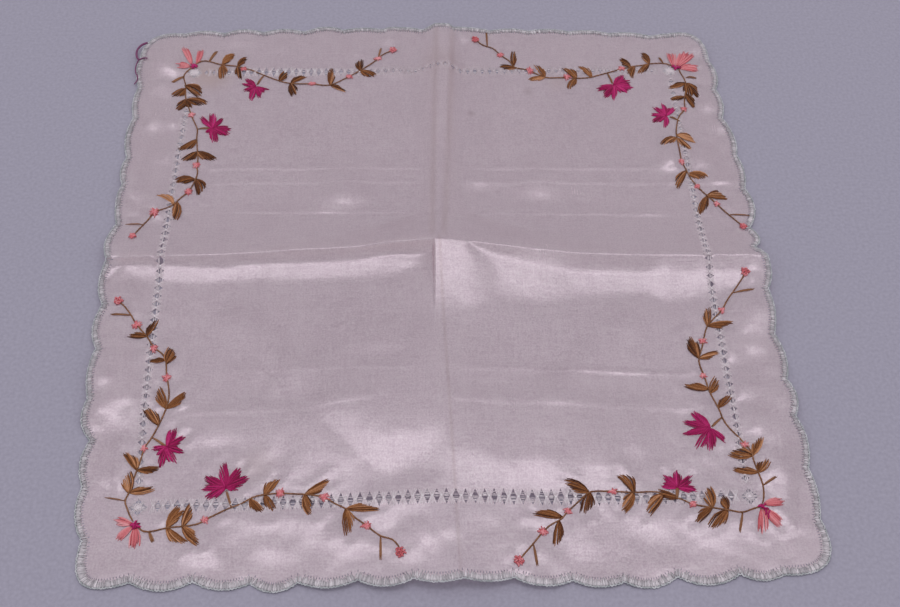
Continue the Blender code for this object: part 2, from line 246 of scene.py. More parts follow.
# The pattern, drawn on the silk before it is sewn. A vine has the points of its stem, leaves (from,
# to, width, bend, how golden), twigs (from, to, width), buds (place, size both ways) and the round
# bud at its end (place, size).
Vine = namedtuple("Vine", "stem leaves twigs buds end")
VINES = [
    # The far left, along the back
    Vine(
        stem=(
            (-120.5, 125), (-117.5, 128.5), (-113.5, 128.5), (-110, 127), (-107, 126), (-99, 124.5),
            (-95, 123), (-91, 121.5), (-85, 118), (-80, 115.5), (-77, 114), (-72.5, 112.5), (-67, 112),
            (-61, 112), (-56, 111), (-52, 111), (-49, 112.5), (-46, 114.5), (-42.5, 117), (-37.5, 121),
            (-34, 124), (-28, 129.5), (-26, 132), (-20.5, 135.5)),
        leaves=(
            (-107.5, 126.5, -98.5, 131.5, 4.2, 2, 0.55), (-106.5, 127, -105, 115, 4.3, 0, 0.5),
            (-99, 123.5, -92.5, 130, 3, 1.2, 0.35), (-99, 124.5, -97.5, 114.5, 2.8, 0, 0.3),
            (-78, 114.5, -73, 121, 4, 0, 0.2), (-72.5, 112.5, -63.5, 118.5, 2.8, 0.8, 0.3),
            (-72, 112.5, -68, 103, 4.3, -0.4, 0.15), (-52, 111, -50, 124, 3.3, 0.5, 0.2),
            (-50.5, 110.5, -43, 107, 2.2, 0, 0.35), (-37.5, 120.5, -37.5, 130.5, 3.7, 0.4, 0.1),
            (-37.5, 121.5, -29, 116, 3.8, 0, 0.3)),
        twigs=(
            (-113.5, 128.5, -110, 136, 1.6), (-28, 130, -26.5, 137.5, 1.1), (-85, 118.5, -88.5, 111, 1.1)),
        buds=((-95.5, 122.5, 4.2, 2.6), (-61, 112, 4.6, 2.6), (-42.5, 117, 4.4, 3), (-28, 129.5, 4.6, 3)),
        end=(-20.5, 135.5, 4.4)),
    # The far left, down the left
    Vine(
        stem=(
            (-121, 124), (-125, 117.5), (-124, 113), (-123.5, 110), (-123, 104), (-122.5, 101.5),
            (-120.5, 95.5), (-119, 91), (-117, 86), (-115, 81), (-115, 76.5), (-114, 68), (-113, 61),
            (-113.5, 58), (-112.5, 54), (-113, 49.5), (-115.5, 41.5), (-118.5, 38.5), (-122, 33.5),
            (-127, 29.5), (-129.5, 28), (-134, 22), (-138, 14.5)),
        leaves=(
            (-124, 110, -130, 102.5, 4.4, 0.8, 0.3), (-123.5, 110.5, -114, 103.5, 5.2, 1.2, 0.3),
            (-123, 102, -128.5, 94, 4, 0.9, 0.2), (-122, 102, -112, 96.5, 4.4, 0.9, 0.25),
            (-122, 101.5, -120, 94.5, 2.4, 0, 0.15), (-115.5, 75, -123.5, 67, 3.8, 1.2, 0.25),
            (-114.5, 67.5, -121, 60, 4, 0.8, 0.2), (-114, 67.5, -104.5, 60, 4, -0.3, 0.2),
            (-112.5, 50, -123, 46, 4.2, -1.2, 0.2), (-114.5, 50, -109.5, 39, 4.8, 1, 0.05),
            (-120.5, 31.5, -130, 39, 3, -1.8, 0.9), (-121, 35.5, -122, 23, 4.2, 1.2, 0.45)),
        twigs=((-125, 117, -130.5, 112, 1.5), (-134, 22, -142.5, 22, 0.8), (-115, 81.5, -108.5, 82, 1.1)),
        buds=((-119, 91, 3.4, 3.2), (-113.5, 58, 3.8, 4.6), (-115.5, 41.5, 3.6, 5), (-129.5, 28, 4.6, 4.4)),
        end=(-138, 14.5, 3.4)),
    # The far right, along the back
    Vine(
        stem=(
            (123, 122), (121, 124), (117, 125.5), (110, 125), (106, 124), (102, 123.5), (95.5, 121.5),
            (89, 119), (83, 117), (79, 115.5), (73, 115), (66, 115.5), (57, 115.5), (53, 117.5),
            (49, 120.5), (44.5, 122), (41, 123), (39, 127.5), (34.5, 132), (31, 137), (27.5, 138.5),
            (25, 140), (22, 143.5)),
        leaves=(
            (109.5, 125.5, 105.5, 133.5, 3.2, -1, 0.3), (109.5, 126, 104.5, 116.5, 3.4, -0.8, 0.45),
            (101.5, 123, 94, 129, 3.4, -0.5, 0.3), (102, 124.5, 99, 115, 3.4, -0.8, 0.4),
            (80, 116.5, 74.5, 125, 3.2, -0.5, 0.45), (72.5, 115.5, 66.5, 124, 4.4, -0.6, 0.5),
            (72.5, 116.5, 68.5, 106, 3.6, -0.8, 0.4), (57, 116, 52.5, 126, 3.5, -0.4, 0.6),
            (57, 115.5, 47, 113, 2.6, -0.4, 0.75), (41, 123, 42.5, 136, 2.8, 0.4, 0.2),
            (42, 123, 32.5, 123.5, 2.8, 0, 0.2)),
        twigs=((117.5, 125.5, 115.5, 130, 1.2), (28, 138.5, 28, 150.5, 1), (88, 119, 90, 110.5, 1.1)),
        buds=((95.5, 122, 4.2, 3.4), (67.5, 116, 4.2, 4.6), (49, 120.5, 3.6, 5.6), (34.5, 132, 4, 3.8)),
        end=(22, 143.5, 4.2)),
    # The far right, down the right
    Vine(
        stem=(
            (124.5, 121), (125, 117), (126, 113), (126.5, 108.5), (125.5, 102.5), (124.5, 98), (124, 93),
            (121, 89), (119.5, 85.5), (118, 79.5), (117.5, 75.5), (117.5, 64.5), (117.5, 57.5), (119, 53.5),
            (119.5, 51), (121, 46), (123, 42.5), (125, 39), (127.5, 36), (130.5, 31.5), (132.5, 28.5),
            (135, 25), (139.5, 19), (140.5, 17.5)),
        leaves=(
            (127, 110, 117, 109, 2.8, 0, 0.25), (126.5, 109.5, 133, 100, 3.4, 0.8, 0.25),
            (126.5, 109, 127.5, 100.5, 3.8, 0, 0.2), (125.5, 102, 117, 98.5, 2.4, -0.4, 0.3),
            (127, 102.5, 130.5, 93, 3.2, 0, 0.25), (118, 73, 109.5, 66.5, 3.8, -0.8, 0.4),
            (118.5, 75.5, 127.5, 71, 4, 0.7, 0.7), (119.5, 73.5, 123.5, 64.5, 2.2, 0, 0.5),
            (119, 50.5, 128, 45.5, 4.6, 1.3, 0.6), (119.5, 52, 112, 40.5, 3.6, -0.8, 0.35),
            (125.5, 36.5, 137, 36, 4.7, 0.7, 0.5), (126, 37, 122, 23.5, 3.6, -0.4, 0.3)),
        twigs=((127, 113, 132.5, 112.5, 1.3), (135, 25, 145.5, 24, 0.8), (120.5, 85, 115.5, 88, 1.2)),
        buds=((123.5, 93, 3.2, 3.6), (117.5, 57.5, 3.2, 4.6), (123, 42.5, 3, 3.2), (130.5, 31.5, 3.2, 3)),
        end=(140.5, 17.5, 3.6)),
    # The near left, up the left
    Vine(
        stem=(
            (-121, -126), (-122.5, -124), (-125, -118.5), (-125.5, -117), (-124, -113), (-123, -107.5),
            (-122, -103), (-121, -97.5), (-120.5, -94), (-118, -89), (-116, -83.5), (-114, -77),
            (-113, -70.5), (-114, -64), (-115, -60.5), (-115.5, -56.5), (-116, -53), (-118, -49),
            (-122, -45.5), (-125.5, -40), (-130.5, -34), (-133.5, -29), (-137, -24), (-140, -21)),
        leaves=(
            (-124, -113, -127, -104.5, 4.6, -0.4, 0.7), (-122.5, -113, -114, -110.5, 3, -0.5, 0.65),
            (-122, -104, -128, -95, 3.6, -0.6, 0.6), (-122, -103, -112, -104, 2.6, 0, 0.4),
            (-115.5, -83.5, -122, -74, 3.8, 0, 0.45), (-113.5, -75.5, -119, -65, 3.8, 0.4, 0.45),
            (-113.5, -76, -104.5, -68, 3.4, -0.4, 0.4), (-116.5, -53, -124, -51.5, 2.2, 0.3, 0.35),
            (-116, -53.5, -113, -45, 4.6, 0, 0.35), (-125.5, -40, -134, -38.5, 3, 0.3, 0.25),
            (-125, -39.5, -122.5, -30, 2.8, 0, 0.35)),
        twigs=(
            (-125.5, -117, -133.5, -115.5, 0.8), (-133.5, -29, -142.5, -28.5, 1),
            (-118, -89, -111.5, -93.5, 1)),
        buds=(
            (-120.5, -94, 2.6, 3.4), (-115, -61, 3.4, 4.6), (-122, -46, 3.8, 3.8), (-130.5, -34, 4.4, 4.6)),
        end=(-140, -21, 4.4)),
    # The near left, along the front
    Vine(
        stem=(
            (-119, -128.5), (-117.5, -130), (-114.5, -130.5), (-107.5, -129), (-100.5, -128.5),
            (-95.5, -127.5), (-93.5, -126), (-89, -123.5), (-84, -121), (-80, -119.5), (-76, -117),
            (-72.5, -116), (-65, -115.5), (-60, -116), (-55, -116.5), (-47.5, -118), (-44, -120.5),
            (-38.5, -123.5), (-36, -126.5), (-31, -130.5), (-25.5, -135), (-21, -136.5), (-18, -140.5)),
        leaves=(
            (-107.5, -129, -102, -119.5, 3.4, 0.6, 0.55), (-107, -129, -100.5, -122, 2.2, 0.6, 0.55),
            (-107.5, -129, -99.5, -136.5, 3.8, -0.8, 0.55), (-101, -128.5, -98.5, -118.5, 3.4, 0, 0.5),
            (-101, -129.5, -93.5, -136, 3.8, -0.5, 0.65), (-71.5, -115.5, -66.5, -108, 3.6, 0, 0.5),
            (-76, -117.5, -71, -124.5, 3.2, -0.4, 0.45), (-71.5, -116, -67, -124, 3, -0.2, 0.55),
            (-54.5, -116.5, -44.5, -111, 3.2, -0.4, 0.6), (-55, -116.5, -51, -125.5, 3.6, -1, 0.4),
            (-38.5, -124, -25, -123, 2.8, 0, 0.5), (-40, -123, -37, -135, 4.4, 0, 0.45)),
        twigs=(
            (-114.5, -130.5, -112.5, -135, 1.7), (-25.5, -135, -25.5, -145.5, 1),
            (-83.5, -121.5, -86.5, -113, 1.2)),
        buds=(
            (-93.5, -126, 3.6, 3.8), (-65, -115.5, 4.2, 3.8), (-47.5, -118, 4.8, 4.4), (-31, -130.5, 4, 4)),
        end=(-18, -142, 4.6)),
    # The near right, up the right
    Vine(
        stem=(
            (124.5, -123.5), (125.5, -120.5), (126, -115.5), (125, -110), (124, -104.5), (124, -100.5),
            (122, -97), (120, -93.5), (117, -89.5), (115, -85.5), (114, -80), (113, -76.5), (111.5, -70.5),
            (110.5, -63), (109.5, -58.5), (109.5, -54.5), (112, -48), (114, -41.5), (115.5, -38),
            (118, -35), (123, -30), (124.5, -27.5), (127, -23.5), (129, -21), (135, -13), (135.5, -11)),
        leaves=(
            (125, -110, 115, -106, 3, 0.5, 0.45), (125, -110, 129.5, -103.5, 3.8, 0, 0.55),
            (124.5, -103, 115, -98.5, 5.2, 0.3, 0.6), (124.5, -103, 128.5, -93, 3.2, -0.3, 0.5),
            (113.5, -78.5, 120, -72, 2.8, 0, 0.45), (112, -70.5, 101, -66, 4, 0.5, 0.45),
            (111.5, -71, 117, -64, 3.6, 0, 0.45), (109.5, -54, 105.5, -42.5, 3.8, 0.3, 0.35),
            (109.5, -53.5, 109, -44.5, 2.2, 0, 0.35), (110, -54, 119.5, -52, 2.8, 0, 0.45),
            (116, -37, 116.5, -27, 3, 0, 0.4), (116.5, -37, 127.5, -38.5, 3.2, 0.4, 0.4)),
        twigs=((126, -115.5, 132, -112, 0.9), (129.5, -21, 139, -20, 1), (114.5, -84, 109.5, -88.5, 1)),
        buds=((122, -97, 3.4, 3.2), (110, -63, 3, 3.4), (112.5, -45.5, 3.8, 2.8), (123, -30, 3.4, 3.4)),
        end=(136, -11, 4.4)),
    # The near right, along the front
    Vine(
        stem=(
            (123.5, -124.5), (120, -125.5), (116, -127), (111, -126), (103.5, -124.5), (97, -123),
            (92.5, -120.5), (88, -119.5), (83.5, -117.5), (75, -117.5), (66, -117), (60, -117),
            (56.5, -117.5), (53, -120.5), (47.5, -125.5), (44.5, -129), (40.5, -131), (37, -134),
            (33, -139), (29, -143.5), (27, -146)),
        leaves=(
            (111, -126, 108, -119, 3.2, -0.4, 0.3), (110.5, -126, 102.5, -135, 4.8, -0.4, 0.3),
            (103.5, -125, 102.5, -115, 4.4, -0.5, 0.4), (104, -125, 96, -131, 3.2, -0.5, 0.45),
            (91.5, -121, 83, -117.5, 2.8, 0.3, 0.35), (85, -118.5, 77.5, -127, 4.4, -0.5, 0.5),
            (75, -117.5, 68.5, -109, 4.4, -1.6, 0.3), (74.5, -118, 67.5, -125.5, 4.2, 0.6, 0.3),
            (57.5, -117.5, 45.5, -113.5, 4, -0.4, 0.3), (57, -117.5, 54, -127.5, 4.4, 0.3, 0.2),
            (45, -129.5, 33, -125.5, 3.2, -0.4, 0.25), (44.5, -129.5, 42, -141, 3.6, 0.3, 0.25)),
        twigs=((116, -127, 113.5, -135.5, 0.9), (33, -139.5, 34, -148.5, 1.2), (91, -120.5, 92, -115, 1.5)),
        buds=((97, -123, 3.2, 2.6), (66, -117, 4.4, 2.4), (47.5, -125.5, 3.6, 3.2), (37, -134, 4.2, 3.8)),
        end=(27, -146, 4.4))]

# Large flowers: the heart, then for each petal which way it points in degrees, its length and width
MAGENTA_FLOWERS = [
    (-89, 110, (
        (128, 8.5, 2.2), (155, 7.5, 2.6), (212, 7.5, 2.6), (258, 10, 2.6), (292, 8.7, 2.2),
        (337, 7.6, 2.6))),
    (-108, 82, (
        (131, 10.8, 2.3), (92, 10.8, 3), (51, 9.6, 1.9), (0, 10.2, 2.6), (329, 9.8, 3.2), (281, 11, 3.2),
        (236, 5.5, 2.6))),
    (90.5, 110, (
        (56, 9.6, 3.4), (22, 9.6, 3.2), (353, 10.6, 3.2), (318, 8.8, 3.2), (264, 11, 2.4), (232, 11, 3),
        (194, 10, 2.8))),
    (114, 88.5, (
        (90, 9.8, 1.9), (123, 8.8, 2.6), (175, 8, 2.2), (215, 9, 3), (262, 9, 2.4), (54, 8, 3.2))),
    (-111.5, -93.5, (
        (79, 9.6, 3.2), (32, 8.6, 2.2), (342, 7.8, 2.3), (297, 9, 2.8), (263, 10, 2.8), (236, 6.5, 2.4),
        (189, 6.8, 1.9))),
    (-86.5, -112, (
        (217, 9.8, 2.8), (180, 10.6, 2.6), (147, 11.2, 2.8), (107, 11.5, 3.4), (94, 12.2, 1),
        (55, 10.8, 3), (24, 10.4, 3), (345, 5.5, 2.2))),
    (109, -89, (
        (120, 10.8, 3.6), (157, 12, 2.8), (188, 12.4, 2.4), (203, 8.6, 1.2), (237, 12.4, 3),
        (267, 10.8, 3.2), (315, 9.6, 2))),
    (92, -115.5, (
        (166, 7.2, 3.2), (128, 8, 2.6), (83, 8.6, 2.8), (37, 9, 2.4), (349, 9, 2.6))),
]

# Corner flowers: the two ends of the dark heart, then for each petal its foot, turn, length, width
PINK_FLOWERS = [
    ((-121, 124), (-120.5, 124.5), (
        (-122, 125.5, 113, 12, 2.8), (-119.5, 126.5, 84, 10.5, 2.2), (-122.5, 124, 186, 6.5, 3.6))),
    ((122.5, 122.5), (125, 120.5), (
        (122.5, 123.5, 92, 10, 3.6), (124, 123, 64, 9.6, 3.8), (124.5, 122.5, 42, 10.5, 3.6),
        (125.5, 120.5, 8, 6, 3.4), (126, 120.5, 345, 8.6, 4.2))),
    ((-121, -127), (-119.5, -128.5), (
        (-121.5, -127, 160, 7.4, 2.8), (-121, -128, 229, 8.4, 2.4), (-120, -128.5, 274, 8.6, 3.9))),
    ((124, -124), (126, -128), (
        (125, -123.5, 8, 8, 2.9), (125.5, -126, 310, 8.2, 3.7), (124, -125.5, 261, 10, 3.3))),
]

# The heights of the silk above the table, the fineness of its relief, and the sizes of its edge
SILK_LIES = 0.35
SILK_LOWEST = 0.12
SOFT_FLOOR = 0.3
RELIEF_STEP = 0.5
EDGE_STITCH_PITCH = 1.28
EDGE_STITCH_REACH = 2.3
EDGE_STITCH_EXTRA_IN_FRONT = 0.9
SILK_INSIDE_EDGE = 0.7
GRID_INSIDE_EDGE = 5.4
HOLE_BEYOND_STITCH, HOLE_HALF_LONG, HOLE_HALF_WIDE = 0.55, 0.65, 0.2
IN_A_GAP = 0.97


def read_row(table, key, where):
    """Read a table's columns at a place between two of its rows, on a smooth curve through them."""
    spots = [getattr(row, key) for row in table]
    last = len(table) - 2
    i = min(max(sum(spot <= where for spot in spots) - 1, 0), last)
    span = spots[i + 1] - spots[i]
    t = min(max((where - spots[i]) / span, 0.0), 1.0)
    before, beyond = max(i - 1, 0), min(i + 2, last + 1)
    values = []
    for column in range(len(table[0])):
        here, there = table[i][column], table[i + 1][column]
        lean_here = (there - table[before][column]) / (spots[i + 1] - spots[before]) * span
        lean_there = (table[beyond][column] - here) / (spots[beyond] - spots[i]) * span
        lean_here = steady(lean_here, here - table[before][column], there - here)
        lean_there = steady(lean_there, there - here, table[beyond][column] - there)
        values.append(here * (1 + 2 * t) * (1 - t) ** 2 + lean_here * t * (1 - t) ** 2
                      + there * t * t * (3 - 2 * t) - lean_there * t * t * (1 - t))
    return values


def steady(lean, step_before, step_after):
    """Keep a curve from overshooting where its table turns."""
    if step_before * step_after < 0:
        return 0.0
    limit = 3 * abs(step_after if abs(step_after) < abs(step_before) or not step_before else step_before)
    return max(-limit, min(limit, lean))


def fall(distance, reach, power=2.0):
    """Drop smoothly from one to nothing over a reach."""
    return np.maximum(0.0, 1.0 - abs(distance) / reach) ** power


def ease(low, high, value):
    """Rise smoothly from nothing at low to one at high."""
    t = np.clip((value - low) / (high - low), 0.0, 1.0)
    return t * t * (3 - 2 * t)


across = np.arange(-157.0, 157.01, RELIEF_STEP)
along = np.arange(-161.0, 161.01, RELIEF_STEP)
X, Y = np.meshgrid(across, along)


def unevenness(cell_x, cell_y, seed):
    """Smooth chance swells from -1 to 1 over the whole cloth, each about one cell across."""
    u, v = (X - across[0]) / cell_x, (Y - along[0]) / cell_y
    knots = np.random.default_rng(seed).uniform(-1, 1, (int(v.max()) + 2, int(u.max()) + 2))
    i, j = u.astype(int), v.astype(int)
    s, t = u - i, v - j
    s, t = s * s * (3 - 2 * s), t * t * (3 - 2 * t)
    return ((knots[j, i] * (1 - s) + knots[j, i + 1] * s) * (1 - t)
            + (knots[j + 1, i] * (1 - s) + knots[j + 1, i + 1] * s) * t)


def beside(x0, y0, x1, y1):
    """How far each place lies to the left of a line, and how far it lies along it in millimetres."""
    length = math.hypot(x1 - x0, y1 - y0)
    run_x, run_y = (x1 - x0) / length, (y1 - y0) / length
    return ((Y - y0) * run_x - (X - x0) * run_y, (X - x0) * run_x + (Y - y0) * run_y, length)


ridge_rows = np.array([read_row(CROSS_RIDGE, "x", x) for x in across])
spine_rows = np.array([read_row(SPINE, "y", y) for y in along])
behind = Y - ridge_rows[:, 1]
ahead = np.maximum(-behind, 0.0)
foot_waver = unevenness(19, 60, 17) + 1.1 * unevenness(7, 60, 18)


def front_of(rows, power=1.15):
    """The ridge's face towards the viewer: a steep drop, then an even slope that catches the light."""
    return (rows[:, 4] * fall(ahead, rows[:, 5] + foot_waver, power)
            + (rows[:, 2] - rows[:, 4]) * fall(ahead, rows[:, 3], 1.3))


# Where the two folds cross, the silk comes down from the ridge in one slope, with a sharp edge to
# its left and a slanting one to its right
LEFT_PART_ENDS, CROSSING, RIGHT_PART_STARTS = -6.0, 2.0, 14.0
left_of, right_of = (np.array([read_row(CROSS_RIDGE, "x", x) for x in side])
                     for side in (np.minimum(across, LEFT_PART_ENDS), np.maximum(across, RIGHT_PART_STARTS)))
in_middle = np.array([read_row(CROSS_RIDGE, "x", CROSSING)] * len(across))
left_edge = ease(-3.1, -2.1, X)
slant, soften = 12.0 + 0.5 * np.minimum(ahead, 6.0), 1.0 + 0.9 * ahead
right_edge = ease(-1.0, 1.0, (X - slant) / soften)
shoulder = 0.6 * np.exp(np.minimum(X + 2.6, 0.0) / 6.0) * ease(2.0, 7.0, ahead)
middle_front = front_of(in_middle, 1.45)
left_front = front_of(left_of) * (1 - shoulder) + middle_front * shoulder
front = (left_front * (1 - left_edge)
         + (middle_front * (1 - right_edge) + front_of(right_of) * right_edge) * left_edge)
relief = np.where(behind > 0, ridge_rows[:, 2] * fall(behind, ridge_rows[:, 6]), front)
aside = X - spine_rows[:, 1, None]
flank = np.where(aside > 0, spine_rows[:, 5, None], spine_rows[:, 4, None])
relief += spine_rows[:, 2, None] * fall(np.maximum(0.0, abs(aside) - spine_rows[:, 3, None]), flank, 1.5)
relief += SILK_LIES

# Creases waver a little as they run, and fade out at both ends
waver = unevenness(23, 19, 11)
fine = np.zeros_like(relief)
for crease in CREASES:
    off, run, length = beside(*crease[:4])
    off = off + 0.6 * waver
    side = np.where(off < 0, crease.front, crease.rear)
    fade = min(14.0, length * 0.3)
    ends = ease(-2.0, fade, run) * ease(-2.0, fade, length - run)
    fine += crease.height * np.maximum(0.0, 1 - (off / side) ** 2) ** 2 * ends

# Inside the frame, a roll beyond the slanting fold levels out at it, and one before it stops there
FRAME_FRONT = -118.0
FOLD_X, FOLD_Y, FOLD_END_X, FOLD_END_Y = -97.0, -35.0, -10.0, -124.0
OFF_FOLD_X, OFF_FOLD_Y = 0.715, 0.699
off_fold, *_ = beside(FOLD_X, FOLD_Y, FOLD_END_X, FOLD_END_Y)
short_of_fold = np.minimum(off_fold, 0.0)
for slack in SLACK:
    at_x, at_y, kept_off = X, Y, 1.0
    beyond = (slack.y - FOLD_Y) * (FOLD_END_X - FOLD_X) > (slack.x - FOLD_X) * (FOLD_END_Y - FOLD_Y)
    if slack.y > FRAME_FRONT and beyond:
        at_x, at_y = X - OFF_FOLD_X * short_of_fold, Y - OFF_FOLD_Y * short_of_fold
        kept_off = fall(short_of_fold, 45.0, 1.5)
    elif slack.y > FRAME_FRONT:
        kept_off = ease(-0.8, 0.8, -off_fold)
    toward = (at_y - slack.y) / slack.deep
    roll = ease(-1.0, 1.0, toward) * ease(-1.0, 1.0, (4.0 - toward) / 2.4)
    fine += slack.height * roll * kept_off * np.exp(-((at_x - slack.x) / slack.wide) ** 2)

# Pressed silk is never quite even, and least of all in the border and in the lower half
border = ease(114.0, 128.0, np.maximum(abs(X + 0.5), abs(Y)))
lower = ease(20.0, -60.0, Y)
fine += border * (1 + 0.35 * lower) * (
    0.32 * unevenness(15, 12, 3) + 0.13 * unevenness(8, 7, 4) + 0.05 * unevenness(4.5, 4, 5))
fine += lower * (1 - border) * (0.16 * unevenness(17, 13, 6) + 0.05 * unevenness(7, 6, 7))
fine += (1 - lower) * (1 - border) * (0.05 * unevenness(16, 12, 8) + 0.02 * unevenness(7, 6, 9))
fine += ease(-78.0, -100.0, Y) * 0.09 * unevenness(8, 7, 14)

# The stitches draw the silk in: it dips under them and puckers beside them
FAR_FROM_SEWING, SEWING_REACH = 60.0, 9
PUCKER_AT, PUCKER_WIDE, DIP_WIDE, DIP_DEEP = 3.6, 1.9, 1.8, 0.12
sewn = np.full_like(relief, FAR_FROM_SEWING)


def sew_near(x0, y0, x1, y1):
    """Note how near each place lies to a sewn line."""
    i, j = (slice(int((min(a, b) - SEWING_REACH - first) / RELIEF_STEP),
                  int((max(a, b) + SEWING_REACH - first) / RELIEF_STEP))
            for a, b, first in ((x0, x1, across[0]), (y0, y1, along[0])))
    run_x, run_y = x1 - x0, y1 - y0
    t = np.clip(((X[j, i] - x0) * run_x + (Y[j, i] - y0) * run_y) / (run_x ** 2 + run_y ** 2 + 1e-9), 0, 1)
    near = np.hypot(X[j, i] - x0 - t * run_x, Y[j, i] - y0 - t * run_y)
    sewn[j, i] = np.minimum(sewn[j, i], near)


def step_off(x, y, turn, length):
    """The place at a length from x and y, in a direction given in degrees."""
    a = math.radians(turn)
    return x + length * math.cos(a), y + length * math.sin(a)


for vine in VINES:
    for (x0, y0), (x1, y1) in zip(vine.stem, vine.stem[1:]):
        sew_near(x0, y0, x1, y1)
    for leaf in vine.leaves:
        sew_near(*leaf[:4])
for x, y, petals in MAGENTA_FLOWERS:
    for turn, length, _ in petals:
        sew_near(x, y, *step_off(x, y, turn, length))
for *_, petals in PINK_FLOWERS:
    for x, y, turn, length, _ in petals:
        sew_near(x, y, *step_off(x, y, turn, length))
pucker = 0.18 + 0.24 * unevenness(3.6, 3.6, 12) + 0.08 * unevenness(2.1, 2.1, 13)
fine += (pucker * np.exp(-((sewn - PUCKER_AT) / PUCKER_WIDE) ** 2)
         - DIP_DEEP * np.exp(-(sewn / DIP_WIDE) ** 2))

# No hollow reaches the table: near its lowest the silk levels out
relief += fine
relief = SILK_LOWEST + np.where(relief > SILK_LOWEST + SOFT_FLOOR, relief - SILK_LOWEST,
                                SOFT_FLOOR * np.exp((relief - SILK_LOWEST - SOFT_FLOOR) / SOFT_FLOOR))


def silk_top(x, y):
    """Height of the silk above the table at any places, read off the relief."""
    u = np.clip((np.asarray(x, float) - across[0]) / RELIEF_STEP, 0, len(across) - 1.001)
    v = np.clip((np.asarray(y, float) - along[0]) / RELIEF_STEP, 0, len(along) - 1.001)
    i, j = u.astype(int), v.astype(int)
    s, t = u - i, v - j
    return ((relief[j, i] * (1 - s) + relief[j, i + 1] * s) * (1 - t)
            + (relief[j + 1, i] * (1 - s) + relief[j + 1, i + 1] * s) * t)


def on_side(side, along_side, out):
    """Turn a place on a side, given along it and out from the middle, into x and y."""
    return {"front": (along_side, -out), "right": (out, along_side),
            "back": (along_side, out), "left": (-out, along_side)}[side]


def scalloped_outline(step):
    """Walk the notches anticlockwise and swell a scallop between each two."""
    notches = [(np.array(on_side(side, notch.along, notch.out), float), notch.bulge)
               for side, rows in SIDE_NOTCHES.items() for notch in rows]
    points = []
    for i, (end, bulge) in enumerate(notches):
        start = notches[i - 1][0]
        chord = end - start
        outward = np.array((chord[1], -chord[0])) / np.hypot(*chord)
        count = max(4, int(np.hypot(*chord) / step))
        for t in np.arange(count) / count:
            points.append(start + chord * t + outward * bulge * 4 * t * (1 - t))
    return np.array(points)


outline = scalloped_outline(0.5)
middle = (outline.min(0) + outline.max(0)) / 2
edge_run = np.roll(outline, -3, 0) - np.roll(outline, 3, 0)
edge_inward = np.stack([-edge_run[:, 1], edge_run[:, 0]], 1) / np.hypot(*edge_run.T)[:, None]
edge_length = np.concatenate([[0], np.cumsum(np.hypot(*(np.roll(outline, -1, 0) - outline).T))])
edge_count = round(edge_length[-1] / EDGE_STITCH_PITCH)


def edge_at(distance):
    """The place and the inward direction at a distance walked round the scalloped edge."""
    distance = np.asarray(distance, float) % edge_length[-1]
    spot, inward = (np.stack([np.interp(distance, edge_length, np.append(values[:, axis], values[0, axis]))
                              for axis in (0, 1)], -1) for values in (outline, edge_inward))
    return spot, inward / np.linalg.norm(inward, axis=-1, keepdims=True)


def edge_reach(distance):
    """How far in the edge stitches reach. They are longer along the front."""
    spot, _ = edge_at(distance)
    return EDGE_STITCH_REACH + EDGE_STITCH_EXTRA_IN_FRONT * ease(-125.0, -145.0, spot[..., 1])


def walk_row(row, after_bar):
    """Walk the places of an openwork row, one to a pitch: how far along its side and how far out."""
    first = math.ceil((-ROW_HALF_LENGTH - row.bar_at) / row.pitch - after_bar)
    last = math.floor((ROW_HALF_LENGTH - row.bar_at) / row.pitch - after_bar)
    for count in range(first, last + 1):
        along_side = row.bar_at + (count + after_bar) * row.pitch
        yield along_side, row.out + row.bow * (1 - (along_side / ROW_HALF_LENGTH) ** 2)


def openwork_gaps():
    """The gaps of the four rows, and the window at each corner of the frame: centre, half sizes."""
    gaps, chance = [], np.random.default_rng(23)
    for row in OPENWORK_ROWS:
        for along_side, out in walk_row(row, 0.5):
            open_share = np.interp(along_side, OPENWORK_AT, GAP_OPEN[row.side]) * chance.uniform(0.9, 1.08)
            half = (row.gap_along / 2 * chance.uniform(0.88, 1.06), row.gap_across / 2 * open_share)
            gaps.append((on_side(row.side, along_side, out),
                         half[::-1] if row.side in ("left", "right") else half))
    half = CORNER_WINDOW * math.sqrt(0.5)
    gaps += [((x, y), (half, half)) for x in (-CORNER_OUT, CORNER_OUT) for y in (-CORNER_OUT, CORNER_OUT)]
    return gaps


def graded(fine_spots, close, wide, limit, slow=1.35):
    """Offsets on both sides of zero and of other spots, close together there and wider apart between."""
    places, at = [], -limit
    while at < limit:
        places.append(at)
        near = min(abs(at - spot) for spot in fine_spots)
        at += min(wide, max(close, close + (near - close * 2) * (slow - 1)))
    return places


# The silk is cut by the outline, by the gaps, and by the small holes that the edge stitches pull open
gaps = openwork_gaps()
stitch_places = np.arange(edge_count) * EDGE_STITCH_PITCH
pin_spot, pin_inward = edge_at(stitch_places + EDGE_STITCH_PITCH / 2)
pin_holes = pin_spot + pin_inward * (edge_reach(stitch_places)[:, None] + HOLE_BEYOND_STITCH)
points, edges = [], []


def add_loop(loop):
    """Add a closed line that the silk is cut along."""
    first = len(points)
    points.extend(Vector(p) for p in loop)
    edges.extend((first + i, first + (i + 1) % len(loop)) for i in range(len(loop)))


DIAMOND = ((1, 0), (0.46, 0.5), (0, 1), (-0.46, 0.5), (-1, 0), (-0.46, -0.5), (0, -1), (0.46, -0.5))
add_loop((outline + edge_inward * SILK_INSIDE_EDGE)[::2])
for (x, y), (half_x, half_y) in gaps:
    add_loop([(x + u * half_x, y + v * half_y) for u, v in DIAMOND])
for hole, inward in zip(pin_holes, pin_inward):
    side = np.array((-inward[1], inward[0]))
    add_loop([hole + inward * 0.7, hole + side * HOLE_HALF_WIDE,
              hole - inward * 0.6, hole - side * HOLE_HALF_WIDE])

